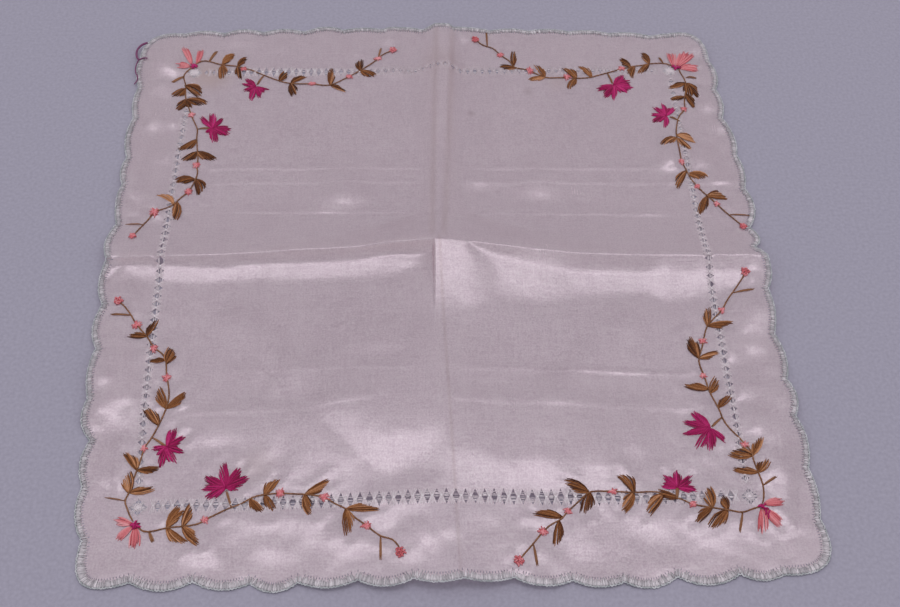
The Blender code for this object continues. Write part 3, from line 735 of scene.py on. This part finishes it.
# The silk's points lie close together along the creases, which they follow
PRESSED_AT = (-78.0, -61.0, 0.0, 27.0, 46.0, 55.0)
grid_x, grid_y = np.meshgrid(graded((0.0,), close=0.4, wide=1.75, limit=152.0, slow=1.3),
                             graded(PRESSED_AT, close=0.55, wide=1.75, limit=156.0))
grid_x = grid_x + np.interp(grid_y, along, spine_rows[:, 1])
grid_y = grid_y + np.interp(grid_x, across, ridge_rows[:, 1]) * fall(grid_y, 60.0, 1.0)
grid = np.stack([grid_x.ravel(), grid_y.ravel()], 1)
grid += np.random.default_rng(2).uniform(-0.02, 0.02, grid.shape)


def inside(loop, places):
    """Which places lie within a closed loop."""
    found = np.zeros(len(places), bool)
    for (ax, ay), (bx, by) in zip(loop, np.roll(loop, -1, 0)):
        if ay != by:
            crosses = (ay > places[:, 1]) != (by > places[:, 1])
            found ^= crosses & (places[:, 0] < (bx - ax) * (places[:, 1] - ay) / (by - ay) + ax)
    return found


grid = grid[inside((outline + edge_inward * GRID_INSIDE_EDGE)[::4], grid)]
for (x, y), (half_x, half_y) in gaps:
    grid = grid[(abs(grid[:, 0] - x) > half_x + 0.5) | (abs(grid[:, 1] - y) > half_y + 0.7)]
points.extend(Vector(p) for p in grid)
flat, _, faces, *_ = delaunay_2d_cdt(points, edges, [], 1, 1e-5)
flat = np.array([p[:] for p in flat])
centres = np.array([flat[list(face)].mean(0) for face in faces])
kept = np.ones(len(faces), bool)
for (x, y), (half_x, half_y) in gaps:
    kept &= abs(centres[:, 0] - x) / half_x + abs(centres[:, 1] - y) / half_y > IN_A_GAP
for hole, inward in zip(pin_holes, pin_inward):
    apart = centres - hole
    side = np.array((-inward[1], inward[0]))
    kept &= abs(apart @ inward) / HOLE_HALF_LONG + abs(apart @ side) / HOLE_HALF_WIDE > 1.0
silk_faces = [tuple(face) for face, keep in zip(faces, kept) if keep]


def lay_mesh(name, points_mm, faces_of):
    """Make an object from points in cloth millimetres, moved to where the solid lies."""
    mesh = bpy.data.meshes.new(name)
    placed = (np.asarray(points_mm) - (middle[0], middle[1], 0.0)) * MM
    mesh.from_pydata(placed.tolist(), [], faces_of)
    mesh.polygons.foreach_set("use_smooth", [True] * len(mesh.polygons))
    mesh.update()
    thing = bpy.data.objects.new(name, mesh)
    bpy.context.scene.collection.objects.link(thing)
    return thing


silk_square = lay_mesh("silk_square", np.column_stack([flat, silk_top(flat[:, 0], flat[:, 1])]), silk_faces)


class Finish:
    """One socket in a material. Sums on it add Math nodes, and node() adds a node of any other kind."""

    def __init__(self, tree, socket=None):
        self.tree, self.socket = tree, socket

    def node(self, kind, settings=None, values=None, out=0):
        """Add a node. Stops, among its settings, are the places and colours of a colour ramp."""
        made = self.tree.nodes.new("ShaderNode" + kind)
        for name, value in (settings or {}).items():
            if name == "stops":
                ramp = made.color_ramp.elements
                while len(ramp) < len(value):
                    ramp.new(0.5)
                for element, (position, colour) in zip(ramp, value):
                    element.position, element.color = position, (*colour, 1.0)
            else:
                setattr(made, name, value)
        for name, value in (values or {}).items():
            if isinstance(value, Finish):
                self.tree.links.new(value.socket, made.inputs[name])
            else:
                made.inputs[name].default_value = value
        return Finish(self.tree, made.outputs[out])

    def blend(self, colour, other):
        """Blend two colours by this value."""
        return self.node("Mix", {"data_type": "RGBA", "clamp_factor": True},
                         {0: self, 6: colour, 7: other}, 2)

    def fade(self, low, high, start, end):
        """Pass smoothly from start to end while this value goes from low to high."""
        return self.node("MapRange", {"interpolation_type": "SMOOTHSTEP"}, {
            "Value": self, "From Min": low, "From Max": high, "To Min": start, "To Max": end})

    def maths(self, operation, *others):
        return self.node("Math", {"operation": operation}, dict(enumerate(others)))

    def __add__(self, other):
        return self.maths("ADD", self, other)

    def __sub__(self, other):
        return self.maths("SUBTRACT", self, other)

    def __rsub__(self, other):
        return self.maths("SUBTRACT", other, self)

    def __mul__(self, other):
        return self.maths("MULTIPLY", self, other)

    __radd__ = __add__


def new_finish(name, **constants):
    """A material with its Principled shader, whose sockets that are alike all over are set at once."""
    material = bpy.data.materials.new(name)
    material.use_nodes = True
    shader = material.node_tree.nodes["Principled BSDF"]
    for socket, value in constants.items():
        shader.inputs[socket.replace("_", " ")].default_value = value
    return material, shader, Finish(material.node_tree)


def feed(finish, shader, **sockets):
    """Link what a Finish works out to the sockets of a shader."""
    for socket, value in sockets.items():
        finish.tree.links.new(value.socket, shader.inputs[socket.replace("_", " ")])


silk, silk_shader, satin = new_finish("satin_silk", Metallic=0.40, Roughness=0.25, Specular_IOR_Level=0.5)
place = satin.node("TexCoord", out=3)
warp, weft, bands = (satin.node("TexNoise", values={
    "Vector": satin.node("Mapping", values={"Vector": place, "Scale": fineness}),
    "Scale": 1.0, "Detail": detail, "Roughness": 0.6}) for fineness, detail in (
        ((1500.0, 90.0, 90.0), 2.0), ((110.0, 1400.0, 110.0), 2.0), ((160.0, 4.0, 4.0), 3.0)))
cloudy, crinkle, slub = (satin.node("TexNoise", values={"Vector": place, "Scale": scale, "Detail": detail})
                         for scale, detail in ((34.0, 3.0), (210.0, 3.0), (1500.0, 1.0)))
threads = (warp - 0.5) * 0.5 + (bands - 0.5) * 0.2
shade = 0.5 + threads * 1.2 + (weft - 0.5) * 0.9 + (slub - 0.5) * 2.2 + (cloudy - 0.5) * 0.3
silk_colour = shade.node("ValToRGB", {"stops": (
    (0.05, (0.72, 0.605, 0.685)), (0.5, (0.87, 0.75, 0.825)), (0.95, (1.0, 0.89, 0.95)))}, {"Fac": shade})

# Old silk has faint stains
for x, y, reach, strength, stain in (
        (-112.0, 119.0, 17.0, 0.55, (0.78, 0.60, 0.50)), (18.0, 91.0, 3.0, 0.5, (0.42, 0.34, 0.36)),
        (47.0, 106.0, 4.0, 0.45, (0.46, 0.38, 0.40)), (4.0, 125.0, 14.0, 0.25, (0.66, 0.52, 0.46)),
        (62.0, 112.0, 9.0, 0.25, (0.74, 0.58, 0.50)), (-75.0, -103.0, 12.0, 0.2, (0.80, 0.66, 0.60))):
    apart = satin.node("VectorMath", {"operation": "DISTANCE"}, {
        0: place, 1: ((x - middle[0]) * MM, (y - middle[1]) * MM, 0.0)}, 1)
    silk_colour = (apart.fade(0.0, reach * MM, 1.0, 0.0) * strength).blend(silk_colour, (*stain, 1.0))
# Along the upright fold the silk is painted darker and browner: a thin line in front of the ridge, and behind
# the ridge two broader lines beside the fold's flat top, which are painted shade of its shoulders.
split = satin.node("SeparateXYZ", values={"Vector": place})
split_y = Finish(satin.tree, split.socket.node.outputs[1])
behind_ridge = split_y.fade(4.0 * MM, 10.0 * MM, 0.0, 1.0)
for line_x, lean, reach, strength, side in (
        (0.2, 0.03, 1.2, 0.3, 1.0 - behind_ridge), (-3.4, -0.035, 2.7, 0.3, behind_ridge),
        (1.8, -0.058, 2.7, 0.3, behind_ridge)):
    fold_line = split.maths("ABSOLUTE", split + split_y * lean - (line_x - middle[0]) * MM)
    fold_darkening = fold_line.fade(0.0, reach * MM, strength, 0.0)
    silk_colour = (fold_darkening * (0.35 + cloudy * 0.9) * side).blend(silk_colour, (0.52, 0.40, 0.36, 1.0))
feed(satin, silk_shader, Base_Color=silk_colour, Roughness=0.25 - threads * 0.12 + (cloudy - 0.5) * 0.08,
     Normal=satin.node("Bump", values={
         "Strength": 1.0, "Distance": 1.0,
         "Height": warp * 0.000020 + weft * 0.000016 + crinkle * 0.00009 + bands * 0.00002}))
through = satin.node("BsdfTranslucent", values={"Color": (0.94, 0.78, 0.77, 1.0)})
shown = satin.node("MixShader", values={0: 0.5, 1: Finish(satin.tree, silk_shader.outputs[0]), 2: through})
satin.tree.links.new(shown.socket, satin.tree.nodes["Material Output"].inputs["Surface"])
silk_square.data.materials.append(silk)

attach(silk_square, "root")
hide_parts("cloth")


# The openwork. The crosswise threads are drawn out of the silk along each side of a square, and the
# ones left are tied in bundles with fine silk, so that each bundle is pinched like an hourglass. The
# window at each corner is crossed by threads, and two small rings of thread hold them together.
THREAD_LOWEST = 0.03
BUNDLE_THREADS = 5
BUNDLE_WAIST = 0.34
TIE_REACH = 0.5
STRAYS, STRAYS_IN_FRONT = 8, 12


class Skein:
    """Thread of one kind. Each stitch is a small tube that follows the silk, with pinched ends."""

    def __init__(self, seed):
        self.points, self.faces, self.shades, self.count = [], [], [], 0
        self.chance = np.random.default_rng(seed)

    def stitch(self, path, lifts, radius, shade, thin=0.75, sides=5, pinch=0.45):
        """Lay one stitch along a path. Lifts say how far above the silk each of its points lies."""
        path = np.asarray(path, float)
        spots = np.column_stack([path, silk_top(path[:, 0], path[:, 1]) + lifts])
        run = np.gradient(spots, axis=0)
        run /= np.linalg.norm(run, axis=1, keepdims=True) + 1e-12
        side = np.cross(run, (0.0, 0.0, 1.0))
        side /= np.linalg.norm(side, axis=1, keepdims=True) + 1e-12
        top = np.cross(side, run)
        radii = np.full(len(spots), radius)
        radii[[0, -1]] *= pinch
        turn = np.arange(sides) * 2 * math.pi / sides
        ring = (spots[:, None] + radii[:, None, None] * (
            side[:, None] * np.cos(turn)[None, :, None] + thin * top[:, None] * np.sin(turn)[None, :, None]))
        ring[..., 2] = np.maximum(ring[..., 2], THREAD_LOWEST)
        self.points.append(ring.reshape(-1, 3))
        first = self.count
        for i in range(len(spots) - 1):
            a = first + i * sides
            self.faces += [(a + j, a + (j + 1) % sides, a + sides + (j + 1) % sides, a + sides + j)
                           for j in range(sides)]
        last = first + (len(spots) - 1) * sides
        self.faces.append(tuple(range(first + sides - 1, first - 1, -1)))
        self.faces.append(tuple(range(last, last + sides)))
        self.shades += [shade] * (len(spots) * sides)
        self.count += len(spots) * sides

    def wind(self, name, material):
        """Finish the skein as one piece that lies on the silk."""
        piece = lay_mesh(name, np.concatenate(self.points), self.faces)
        piece.data.attributes.new("shade", "FLOAT", "POINT").data.foreach_set("value", self.shades)
        piece.data.materials.append(material)
        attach(piece, "root")
        return piece


def thread_finish(name, stops, roughness, gloss, twist, shine=0.5):
    """Silk thread: its colour runs through the stops from stitch to stitch, and it has a fine twist."""
    material, shader, dye = new_finish(name, Roughness=roughness, Metallic=gloss, Specular_IOR_Level=shine)
    spot = dye.node("TexCoord", out=3)
    fleck = dye.node("TexNoise", values={"Vector": spot, "Scale": 1900.0, "Detail": 1.0})
    faded = dye.node("TexNoise", values={"Vector": spot, "Scale": 120.0, "Detail": 2.0})
    tone = dye.node("Attribute", {"attribute_name": "shade"}, out=2)
    tone = tone + (fleck - 0.5) * 0.55 + (faded - 0.5) * 0.3
    feed(dye, shader, Base_Color=dye.node("ValToRGB", {"stops": stops}, {"Fac": tone}),
         Roughness=roughness + (fleck - 0.5) * 0.25,
         Normal=dye.node("Bump", values={"Strength": 0.8, "Distance": 1.0, "Height": fleck * twist}))
    return material


silk_thread = thread_finish("drawn_silk", (
    (0.0, (0.68, 0.57, 0.62)), (0.5, (0.84, 0.74, 0.79)), (1.0, (0.98, 0.92, 0.95))), 0.4, 0.25, 0.00004)
drawn = Skein(21)
for row in OPENWORK_ROWS:
    for bar, out in walk_row(row, 0):
        half, spread = row.gap_across / 2 - 0.15, row.pitch / 2 - 0.25
        # The bundles are painted paler where they caught the light: painted highlight.
        pale = np.interp(bar, OPENWORK_AT, BUNDLE_PALE_PAINTED_SHEEN[row.side])
        lean = drawn.chance.normal(0, 0.12)
        for k in range(BUNDLE_THREADS):
            u = 2 * k / (BUNDLE_THREADS - 1) - 1
            v = np.array((-1.0, -0.62, -0.25, 0.0, 0.25, 0.62, 1.0))
            wide = BUNDLE_WAIST + (spread - BUNDLE_WAIST) * abs(v) ** 1.15
            beside_bar = u * wide + lean * (1 - abs(v)) + drawn.chance.normal(0, 0.04, 7)
            path = [on_side(row.side, bar + b, out + half * t) for b, t in zip(beside_bar, v)]
            lifts = np.array((-0.1, 0.0, 0.06, 0.12, 0.06, 0.0, -0.1)) + 0.03 * (k % 2)
            drawn.stitch(path, lifts, 0.14, pale * drawn.chance.uniform(0.5, 1.05), sides=4)
        # The ties are painted paler than their bundle, a painted highlight at the pinched waist.
        for t in (-0.22, 0.12):
            path = [on_side(row.side, bar + lean + b, out + t + 0.1 * b)
                    for b in (-TIE_REACH, -0.3, 0.3, TIE_REACH)]
            drawn.stitch(path, (0.0, 0.34, 0.34, 0.0), 0.19, pale + 0.15)

# Stray threads still hang across each gap
for (x, y), (half_x, half_y) in gaps[:-4]:
    for _ in range(STRAYS_IN_FRONT if y < -110.0 else STRAYS):
        t = drawn.chance.uniform(-0.7, 0.7)
        end = 1.0 - abs(t) + 0.12
        tilt, sag = drawn.chance.normal(0, 0.05), drawn.chance.normal(0, 0.2)
        path = [(x + half_x * end * u, y + half_y * t + tilt * u + sag * (1 - u * u)) if half_y > half_x
                else (x + half_x * t + tilt * u + sag * (1 - u * u), y + half_y * end * u)
                for u in (-1, -0.3, 0.3, 1)]
        drawn.stitch(path, (0.0, -0.05, -0.05, 0.0), 0.1, drawn.chance.uniform(0.2, 0.9), thin=1.0, sides=4)

window_reach = CORNER_WINDOW * 0.78
for (x, y), _ in gaps[-4:]:
    for turn in range(8, 180, 28 if y < 0 else 14):
        a = math.radians(turn + drawn.chance.normal(0, 3))
        run_x, run_y = math.cos(a) * window_reach, math.sin(a) * window_reach
        for shift in (-0.22, 0.22):
            path = [(x + run_x * t - run_y * shift / window_reach,
                     y + run_y * t + run_x * shift / window_reach) for t in (-1, -0.5, 0, 0.5, 1)]
            drawn.stitch(path, (0.0, 0.05, 0.12, 0.05, 0.0), 0.16, drawn.chance.uniform(0.4, 0.8), sides=4)
    for radius in (0.7, 1.4):
        ring = [(x + radius * math.cos(t), y + radius * math.sin(t)) for t in np.linspace(0, 2 * math.pi, 13)]
        drawn.stitch(ring, 0.25, 0.16, 0.6, sides=4)
openwork = drawn.wind("openwork_threads", silk_thread)


# The scalloped edge. Buttonhole stitches in pale aqua thread, three strands to each, stand side by
# side over the cut edge. Their loops lie along the outside, where together they make a cord.
edge_legs = Skein(31)
edge_cord = Skein(32)
for at in stitch_places:
    stitch_reach = edge_reach(at) + edge_legs.chance.normal(0, 0.25)
    # The stitches are painted paler and more even towards the front and darker along the left: painted light
    # and shade of how the lamp falls on the edge.
    (x, y), _ = edge_at(at)
    near = ease(-90.0, -145.0, y)
    left = ease(-130.0, -142.0, x) * (1 - near)
    stitch_tone_and_painted_light = ((0.6 - 0.2 * near) * edge_legs.chance.choice((0.1, 0.4, 0.6, 0.8))
                    + 0.22 * near - 0.14 * left)
    for beside_middle in (-0.42, 0.0, 0.42):
        (spot, inward), (tip, tip_inward) = (
            edge_at(at + beside_middle), edge_at(at + 0.85 * beside_middle + edge_legs.chance.normal(0, 0.2)))
        reach = stitch_reach + edge_legs.chance.normal(0, 0.16)
        path = [spot + inward * 0.35, spot + inward * 1.1, (spot + inward * 1.9 + tip + tip_inward * 1.9) / 2,
                tip + tip_inward * (reach + 0.25)]
        edge_legs.stitch(path, np.array((0.16, 0.3, 0.3, -0.05)) + edge_legs.chance.normal(0, 0.06, 4),
                         edge_legs.chance.uniform(0.25, 0.34),
                         stitch_tone_and_painted_light + edge_legs.chance.normal(-0.06, 0.26), thin=0.6)
    walk = [edge_at(at + part * EDGE_STITCH_PITCH) for part in (-0.1, 0.2, 0.65, 1.1, 1.35)]
    path = [spot + inward * (deep + edge_cord.chance.normal(0, 0.09))
            for (spot, inward), deep in zip(walk, (1.0, 0.35, 0.05, 0.25, 0.95))]
    edge_cord.stitch(path, (0.22, 0.32, 0.22, 0.28, 0.15), edge_cord.chance.uniform(0.24, 0.34),
                     edge_cord.chance.uniform(0.0, 0.9), thin=0.7)
pale_aqua = thread_finish("edge_silk_pale", (
    (0.0, (0.43, 0.395, 0.43)), (0.45, (0.63, 0.58, 0.62)), (1.0, (0.86, 0.79, 0.84))), 0.5, 0.08, 0.00008)
grey_aqua = thread_finish("edge_silk_grey", (
    (0.0, (0.38, 0.40, 0.42)), (0.5, (0.52, 0.53, 0.555)), (1.0, (0.70, 0.69, 0.73))), 0.5, 0.06, 0.00008)
buttonhole = edge_legs.wind("buttonhole_stitches", pale_aqua)
edge_rope = edge_cord.wind("edge_cord", grey_aqua)


# The stems and leaves. Stems are stem stitch in one strand of brown silk. A leaf is a fan of long
# straight stitches in olive to golden floss, laid from its foot, with uneven tips.
STEM_STITCH = 3.2
STEM_LEAN = 0.16


def smooth_line(corners, step):
    """Points at even steps along a soft curve through the corners."""
    corners = np.asarray(corners, float)
    padded = np.vstack([2 * corners[0] - corners[1], corners, 2 * corners[-1] - corners[-2]])
    dense = []
    for p0, p1, p2, p3 in zip(padded, padded[1:], padded[2:], padded[3:]):
        for t in np.arange(0, 1, 0.1):
            dense.append(0.5 * (2 * p1 + (p2 - p0) * t + (2 * p0 - 5 * p1 + 4 * p2 - p3) * t * t
                                + (3 * p1 - p0 - 3 * p2 + p3) * t ** 3))
    dense = np.array(dense + [corners[-1]])
    walked = np.concatenate([[0], np.cumsum(np.hypot(*np.diff(dense, axis=0).T))])
    count = max(2, round(walked[-1] / step) + 1)
    marks = np.linspace(0, walked[-1], count)
    return np.stack([np.interp(marks, walked, dense[:, axis]) for axis in (0, 1)], 1)


def sew_fan(skein, foot, tip, width, bend, shade, strand, ragged, foot_width, waist,
            cascade=0.0, uneven=0.24):
    """Lay long stitches side by side from one foot, opening out to a width, each with its own length.
    With cascade the tips step back towards one side, as in a feather."""
    foot, tip = np.asarray(foot, float), np.asarray(tip, float)
    length = np.hypot(*(tip - foot))
    run = (tip - foot) / length
    side = np.array((-run[1], run[0]))
    count = max(2, round(width / strand) + 1)
    for k in range(count):
        u = 2 * k / (count - 1) - 1
        start = skein.chance.uniform(-0.3, 0.4)
        stepped = abs(cascade) * (0.5 + 0.5 * u * (1 if cascade > 0 else -1)) ** 1.3
        end = length * (1 - 0.10 * abs(u) - stepped)
        end -= skein.chance.uniform(0, ragged)
        spread = (width / 2 - 0.2) * (u + skein.chance.normal(0, 0.06))
        stations = []
        for t in (0.0, 0.22, 0.5, 0.78, 1.0):
            v = (start + (end - start) * t) / length
            open_at = foot_width + (1 - foot_width) * math.sin(min(1.0, max(0.0, v) / waist) * math.pi / 2)
            curve = bend * 4 * v * (1 - v)
            stations.append(foot + run * v * length + side * (spread * open_at + curve))
        crown = 0.30 + 0.22 * (1 - abs(u)) + 0.06 * (k % 2)
        skein.stitch(stations, (0.0, crown, crown, crown * 0.8, -0.1), strand * 0.5,
                     shade + skein.chance.normal(0, uneven), thin=0.9, pinch=0.6)


def nearest_on(line, x, y, reach):
    """The place on a sewn line closest to a foot, or the foot itself where the line is out of reach."""
    apart = np.hypot(line[:, 0] - x, line[:, 1] - y)
    return tuple(line[apart.argmin()]) if apart.min() < reach else (x, y)


stem_skein = Skein(41)
leaf_skein = Skein(42)
for vine in VINES:
    line = smooth_line(vine.stem, STEM_STITCH * 0.62)
    run = np.gradient(line, axis=0)
    side = np.stack([-run[:, 1], run[:, 0]], 1) / np.hypot(*run.T)[:, None]
    for k in range(len(line) - 2):
        path = [line[k] + side[k] * STEM_LEAN, line[k] * 0.5 + line[k + 1] * 0.5 + side[k] * 0.06,
                line[k + 1] * 0.5 + line[k + 2] * 0.5 - side[k + 1] * 0.06,
                line[k + 2] - side[k + 2] * STEM_LEAN]
        stem_skein.stitch(path, (0.0, 0.28, 0.32, 0.05), 0.29, stem_skein.chance.uniform(0.2, 0.6), sides=6)
    for x0, y0, x1, y1, width in vine.twigs:
        count = max(1, round(width / 0.55))
        run_x, run_y = x1 - x0, y1 - y0
        length = math.hypot(run_x, run_y)
        for k in range(count):
            off = (k - (count - 1) / 2) * 0.5
            ax, ay = x0 - run_y / length * off * 0.5, y0 + run_x / length * off * 0.5
            bx, by = x1 - run_y / length * off, y1 + run_x / length * off
            short = stem_skein.chance.uniform(0.0, 0.08) * (count > 1)
            path = [(ax + (bx - ax) * t, ay + (by - ay) * t) for t in (0.0, 0.3, 0.7, 1.0 - short)]
            stem_skein.stitch(path, (0.0, 0.34, 0.34, -0.05), 0.32, stem_skein.chance.uniform(0.35, 0.7))
    for x0, y0, x1, y1, width, bend, golden in vine.leaves:
        tip = (x1 + 0.06 * (x1 - x0), y1 + 0.06 * (y1 - y0))
        sew_fan(leaf_skein, nearest_on(line, x0, y0, 3.0), tip, 1.06 * width + 0.4, bend, golden, 0.56, 1.3,
                0.12, 0.46, cascade=leaf_skein.chance.choice((-0.38, 0.38)))
stem_brown = thread_finish("stem_silk", (
    (0.0, (0.13, 0.052, 0.024)), (0.5, (0.28, 0.125, 0.06)),
    (1.0, (0.47, 0.25, 0.15))), 0.5, 0.1, 0.00008, 0.2)
leaf_olive = thread_finish("leaf_silk", (
    (0.0, (0.09, 0.027, 0.009)), (0.3, (0.21, 0.072, 0.024)), (0.6, (0.37, 0.148, 0.055)),
    (1.0, (0.66, 0.33, 0.18))), 0.42, 0.2, 0.00008, 0.2)
stems = stem_skein.wind("stem_stitches", stem_brown)
leaves = leaf_skein.wind("leaf_stitches", leaf_olive)


# The magenta flowers. Five to eight pointed petals stand round a heart, each one a lozenge of close
# straight stitches in bright magenta floss. The corner flowers have hearts of the same thread.
HEART_STITCHES = 11
magenta_skein = Skein(51)
for x, y, petals in MAGENTA_FLOWERS:
    for turn, length, width in petals:
        sew_fan(magenta_skein, (x, y), step_off(x, y, turn, 1.08 * length), 1.1 * width + 0.35,
                magenta_skein.chance.normal(0, 0.25), magenta_skein.chance.uniform(0.35, 0.6),
                0.5, 2.0, 0.2, 0.5, cascade=magenta_skein.chance.choice((-0.2, 0.2)), uneven=0.18)
for (x0, y0), (x1, y1), petals in PINK_FLOWERS:
    for k in range(HEART_STITCHES):
        t = magenta_skein.chance.uniform(0, 1)
        x, y = x0 + (x1 - x0) * t, y0 + (y1 - y0) * t
        a = math.radians(360 * k / HEART_STITCHES + magenta_skein.chance.uniform(-15, 15))
        path = [(x + 1.9 * math.cos(a) * s, y + 1.9 * math.sin(a) * s) for s in (-0.35, 0.2, 0.7, 1.1)]
        magenta_skein.stitch(path, (0.1, 0.75, 0.65, 0.0), 0.36, magenta_skein.chance.uniform(0.3, 0.75))
magenta_dye = thread_finish("magenta_silk", (
    (0.0, (0.20, 0.003, 0.045)), (0.45, (0.44, 0.008, 0.12)),
    (1.0, (0.72, 0.045, 0.26))), 0.45, 0.25, 0.00008, 0.3)
magenta_flowers = magenta_skein.wind("magenta_flowers", magenta_dye)


# The coral work: the corner flowers, whose petals are open fans of separate strands, the small buds
# along the vines, heaps of short crossing stitches, and the round knotted bud at the end of each.
BUD_STITCHES = 12
END_KNOTS = 16
KNOT_HALF_LONG = 0.62
coral_skein = Skein(61)
for *_, petals in PINK_FLOWERS:
    for x, y, turn, length, width in petals:
        sew_fan(coral_skein, (x, y), step_off(x, y, turn, 1.1 * length), width + 0.6,
                coral_skein.chance.normal(0, 0.3), 0.55, 0.58, 2.0, 0.25, 0.55, uneven=0.22)
for vine in VINES:
    for x, y, wide, tall in vine.buds:
        for k in range(BUD_STITCHES):
            a = math.radians(105 * k + coral_skein.chance.uniform(-12, 12))
            shift_x, shift_y = coral_skein.chance.normal(0, 0.3, 2)
            reach = coral_skein.chance.uniform(0.34, 0.5)
            path = [(x + shift_x + wide * reach * math.cos(a) * s,
                     y + shift_y + tall * reach * math.sin(a) * s) for s in (-1, -0.4, 0.4, 1)]
            coral_skein.stitch(path, (0.1, 0.42 + 0.02 * k, 0.42 + 0.02 * k, 0.1), 0.3,
                               coral_skein.chance.uniform(0.25, 0.9), pinch=0.8)
    x, y, size = vine.end
    for k in range(END_KNOTS):
        a, r = 2.4 * k, size * 0.42 * math.sqrt((k + 0.5) / END_KNOTS)
        knot_x, knot_y = x + r * math.cos(a), y + r * math.sin(a)
        b = coral_skein.chance.uniform(0, math.pi)
        path = [(knot_x + KNOT_HALF_LONG * math.cos(b) * s, knot_y + KNOT_HALF_LONG * math.sin(b) * s)
                for s in (-1, -0.4, 0.4, 1)]
        lift = 0.75 - 0.3 * r / size
        coral_skein.stitch(path, (0.1, lift, lift, 0.1), 0.36, coral_skein.chance.uniform(0.1, 0.75),
                           pinch=0.8)
coral_dye = thread_finish("coral_silk", (
    (0.0, (0.57, 0.09, 0.11)), (0.45, (0.76, 0.205, 0.235)),
    (1.0, (0.93, 0.44, 0.47))), 0.45, 0.1, 0.00008, 0.3)
coral_work = coral_skein.wind("coral_work", coral_dye)


# The loose thread. An end of purple silk hangs out of the far left corner and has fallen on the
# table in a hook and a tail.
LOOSE_HOOK = (
    (-145.2, 139.6), (-148.0, 138.3), (-149.8, 135.6), (-150.1, 132.4), (-149.4, 129.4), (-148.3, 127.3))
LOOSE_TAIL = (
    (-148.3, 127.3), (-149.3, 122.9), (-149.0, 119.3), (-147.9, 116.5), (-148.0, 113.7), (-149.0, 111.5))
LOOSE_END = ((-143.6, 127.2), (-146.0, 127.9), (-148.1, 127.2))
purple_skein = Skein(71)
for corners, radius in ((LOOSE_HOOK, 0.55), (LOOSE_TAIL, 0.3), (LOOSE_END, 0.34)):
    purple_skein.stitch(smooth_line(corners, 0.7), 0.75, radius, 0.5, thin=1.0, sides=6, pinch=0.7)
purple_dye = thread_finish("purple_silk", (
    (0.0, (0.10, 0.02, 0.07)), (0.5, (0.20, 0.045, 0.14)), (1.0, (0.34, 0.10, 0.24))), 0.5, 0.0, 0.00006)
loose_thread = purple_skein.wind("loose_purple_thread", purple_dye)


# The table top: a smooth pale surface with a lavender cast, lit by a large soft box overhead and a
# little behind the cloth. The side towards the viewer is left dim, which brings out the satin.
table_mesh = bpy.data.meshes.new("table_top")
table_mesh.from_pydata([(-1.6, -1.3, 0), (1.6, -1.3, 0), (1.6, 1.7, 0), (-1.6, 1.7, 0)], [], [(0, 1, 2, 3)])
table_top = bpy.data.objects.new("table_top", table_mesh)
bpy.context.scene.collection.objects.link(table_top)
table_paper, paper_shader, paper = new_finish("table_paper", Roughness=0.85, Specular_IOR_Level=0.2)
table_place = paper.node("TexCoord", out=3)
mottle = paper.node("TexNoise", values={"Vector": table_place, "Scale": 700.0, "Detail": 3.0})
feed(paper, paper_shader,
     Base_Color=paper.node("ValToRGB", {"stops": ((0.3, (0.375, 0.352, 0.44)), (0.7, (0.437, 0.412, 0.51)))},
                           {"Fac": mottle}),
     Normal=paper.node("Bump", values={"Strength": 0.5, "Distance": 1.0, "Height": mottle * 0.00002}))
table_mesh.materials.append(table_paper)

for name, wide, deep, energy, colour, hung_at in (
        ("soft_box", 4.2, 1.25, 34.0, (1.0, 0.98, 1.0), (0.2, 0.74, 5.0)),
        ("far_panel", 6.0, 2.4, 9.0, (1.0, 1.0, 1.0), (0.2, 2.63, 5.0))):
    light = bpy.data.objects.new(name, bpy.data.lights.new(name, "AREA"))
    light.data.shape = "RECTANGLE"
    light.data.size, light.data.size_y = wide, deep
    light.data.energy, light.data.color = energy, colour
    light.location = hung_at
    bpy.context.scene.collection.objects.link(light)

surroundings = bpy.data.worlds.new("surroundings")
surroundings.use_nodes = True
surroundings.node_tree.nodes["Background"].inputs["Color"].default_value = (0.61, 0.61, 0.627, 1.0)
bpy.context.scene.world = surroundings
bpy.context.scene.view_settings.view_transform = "Standard"
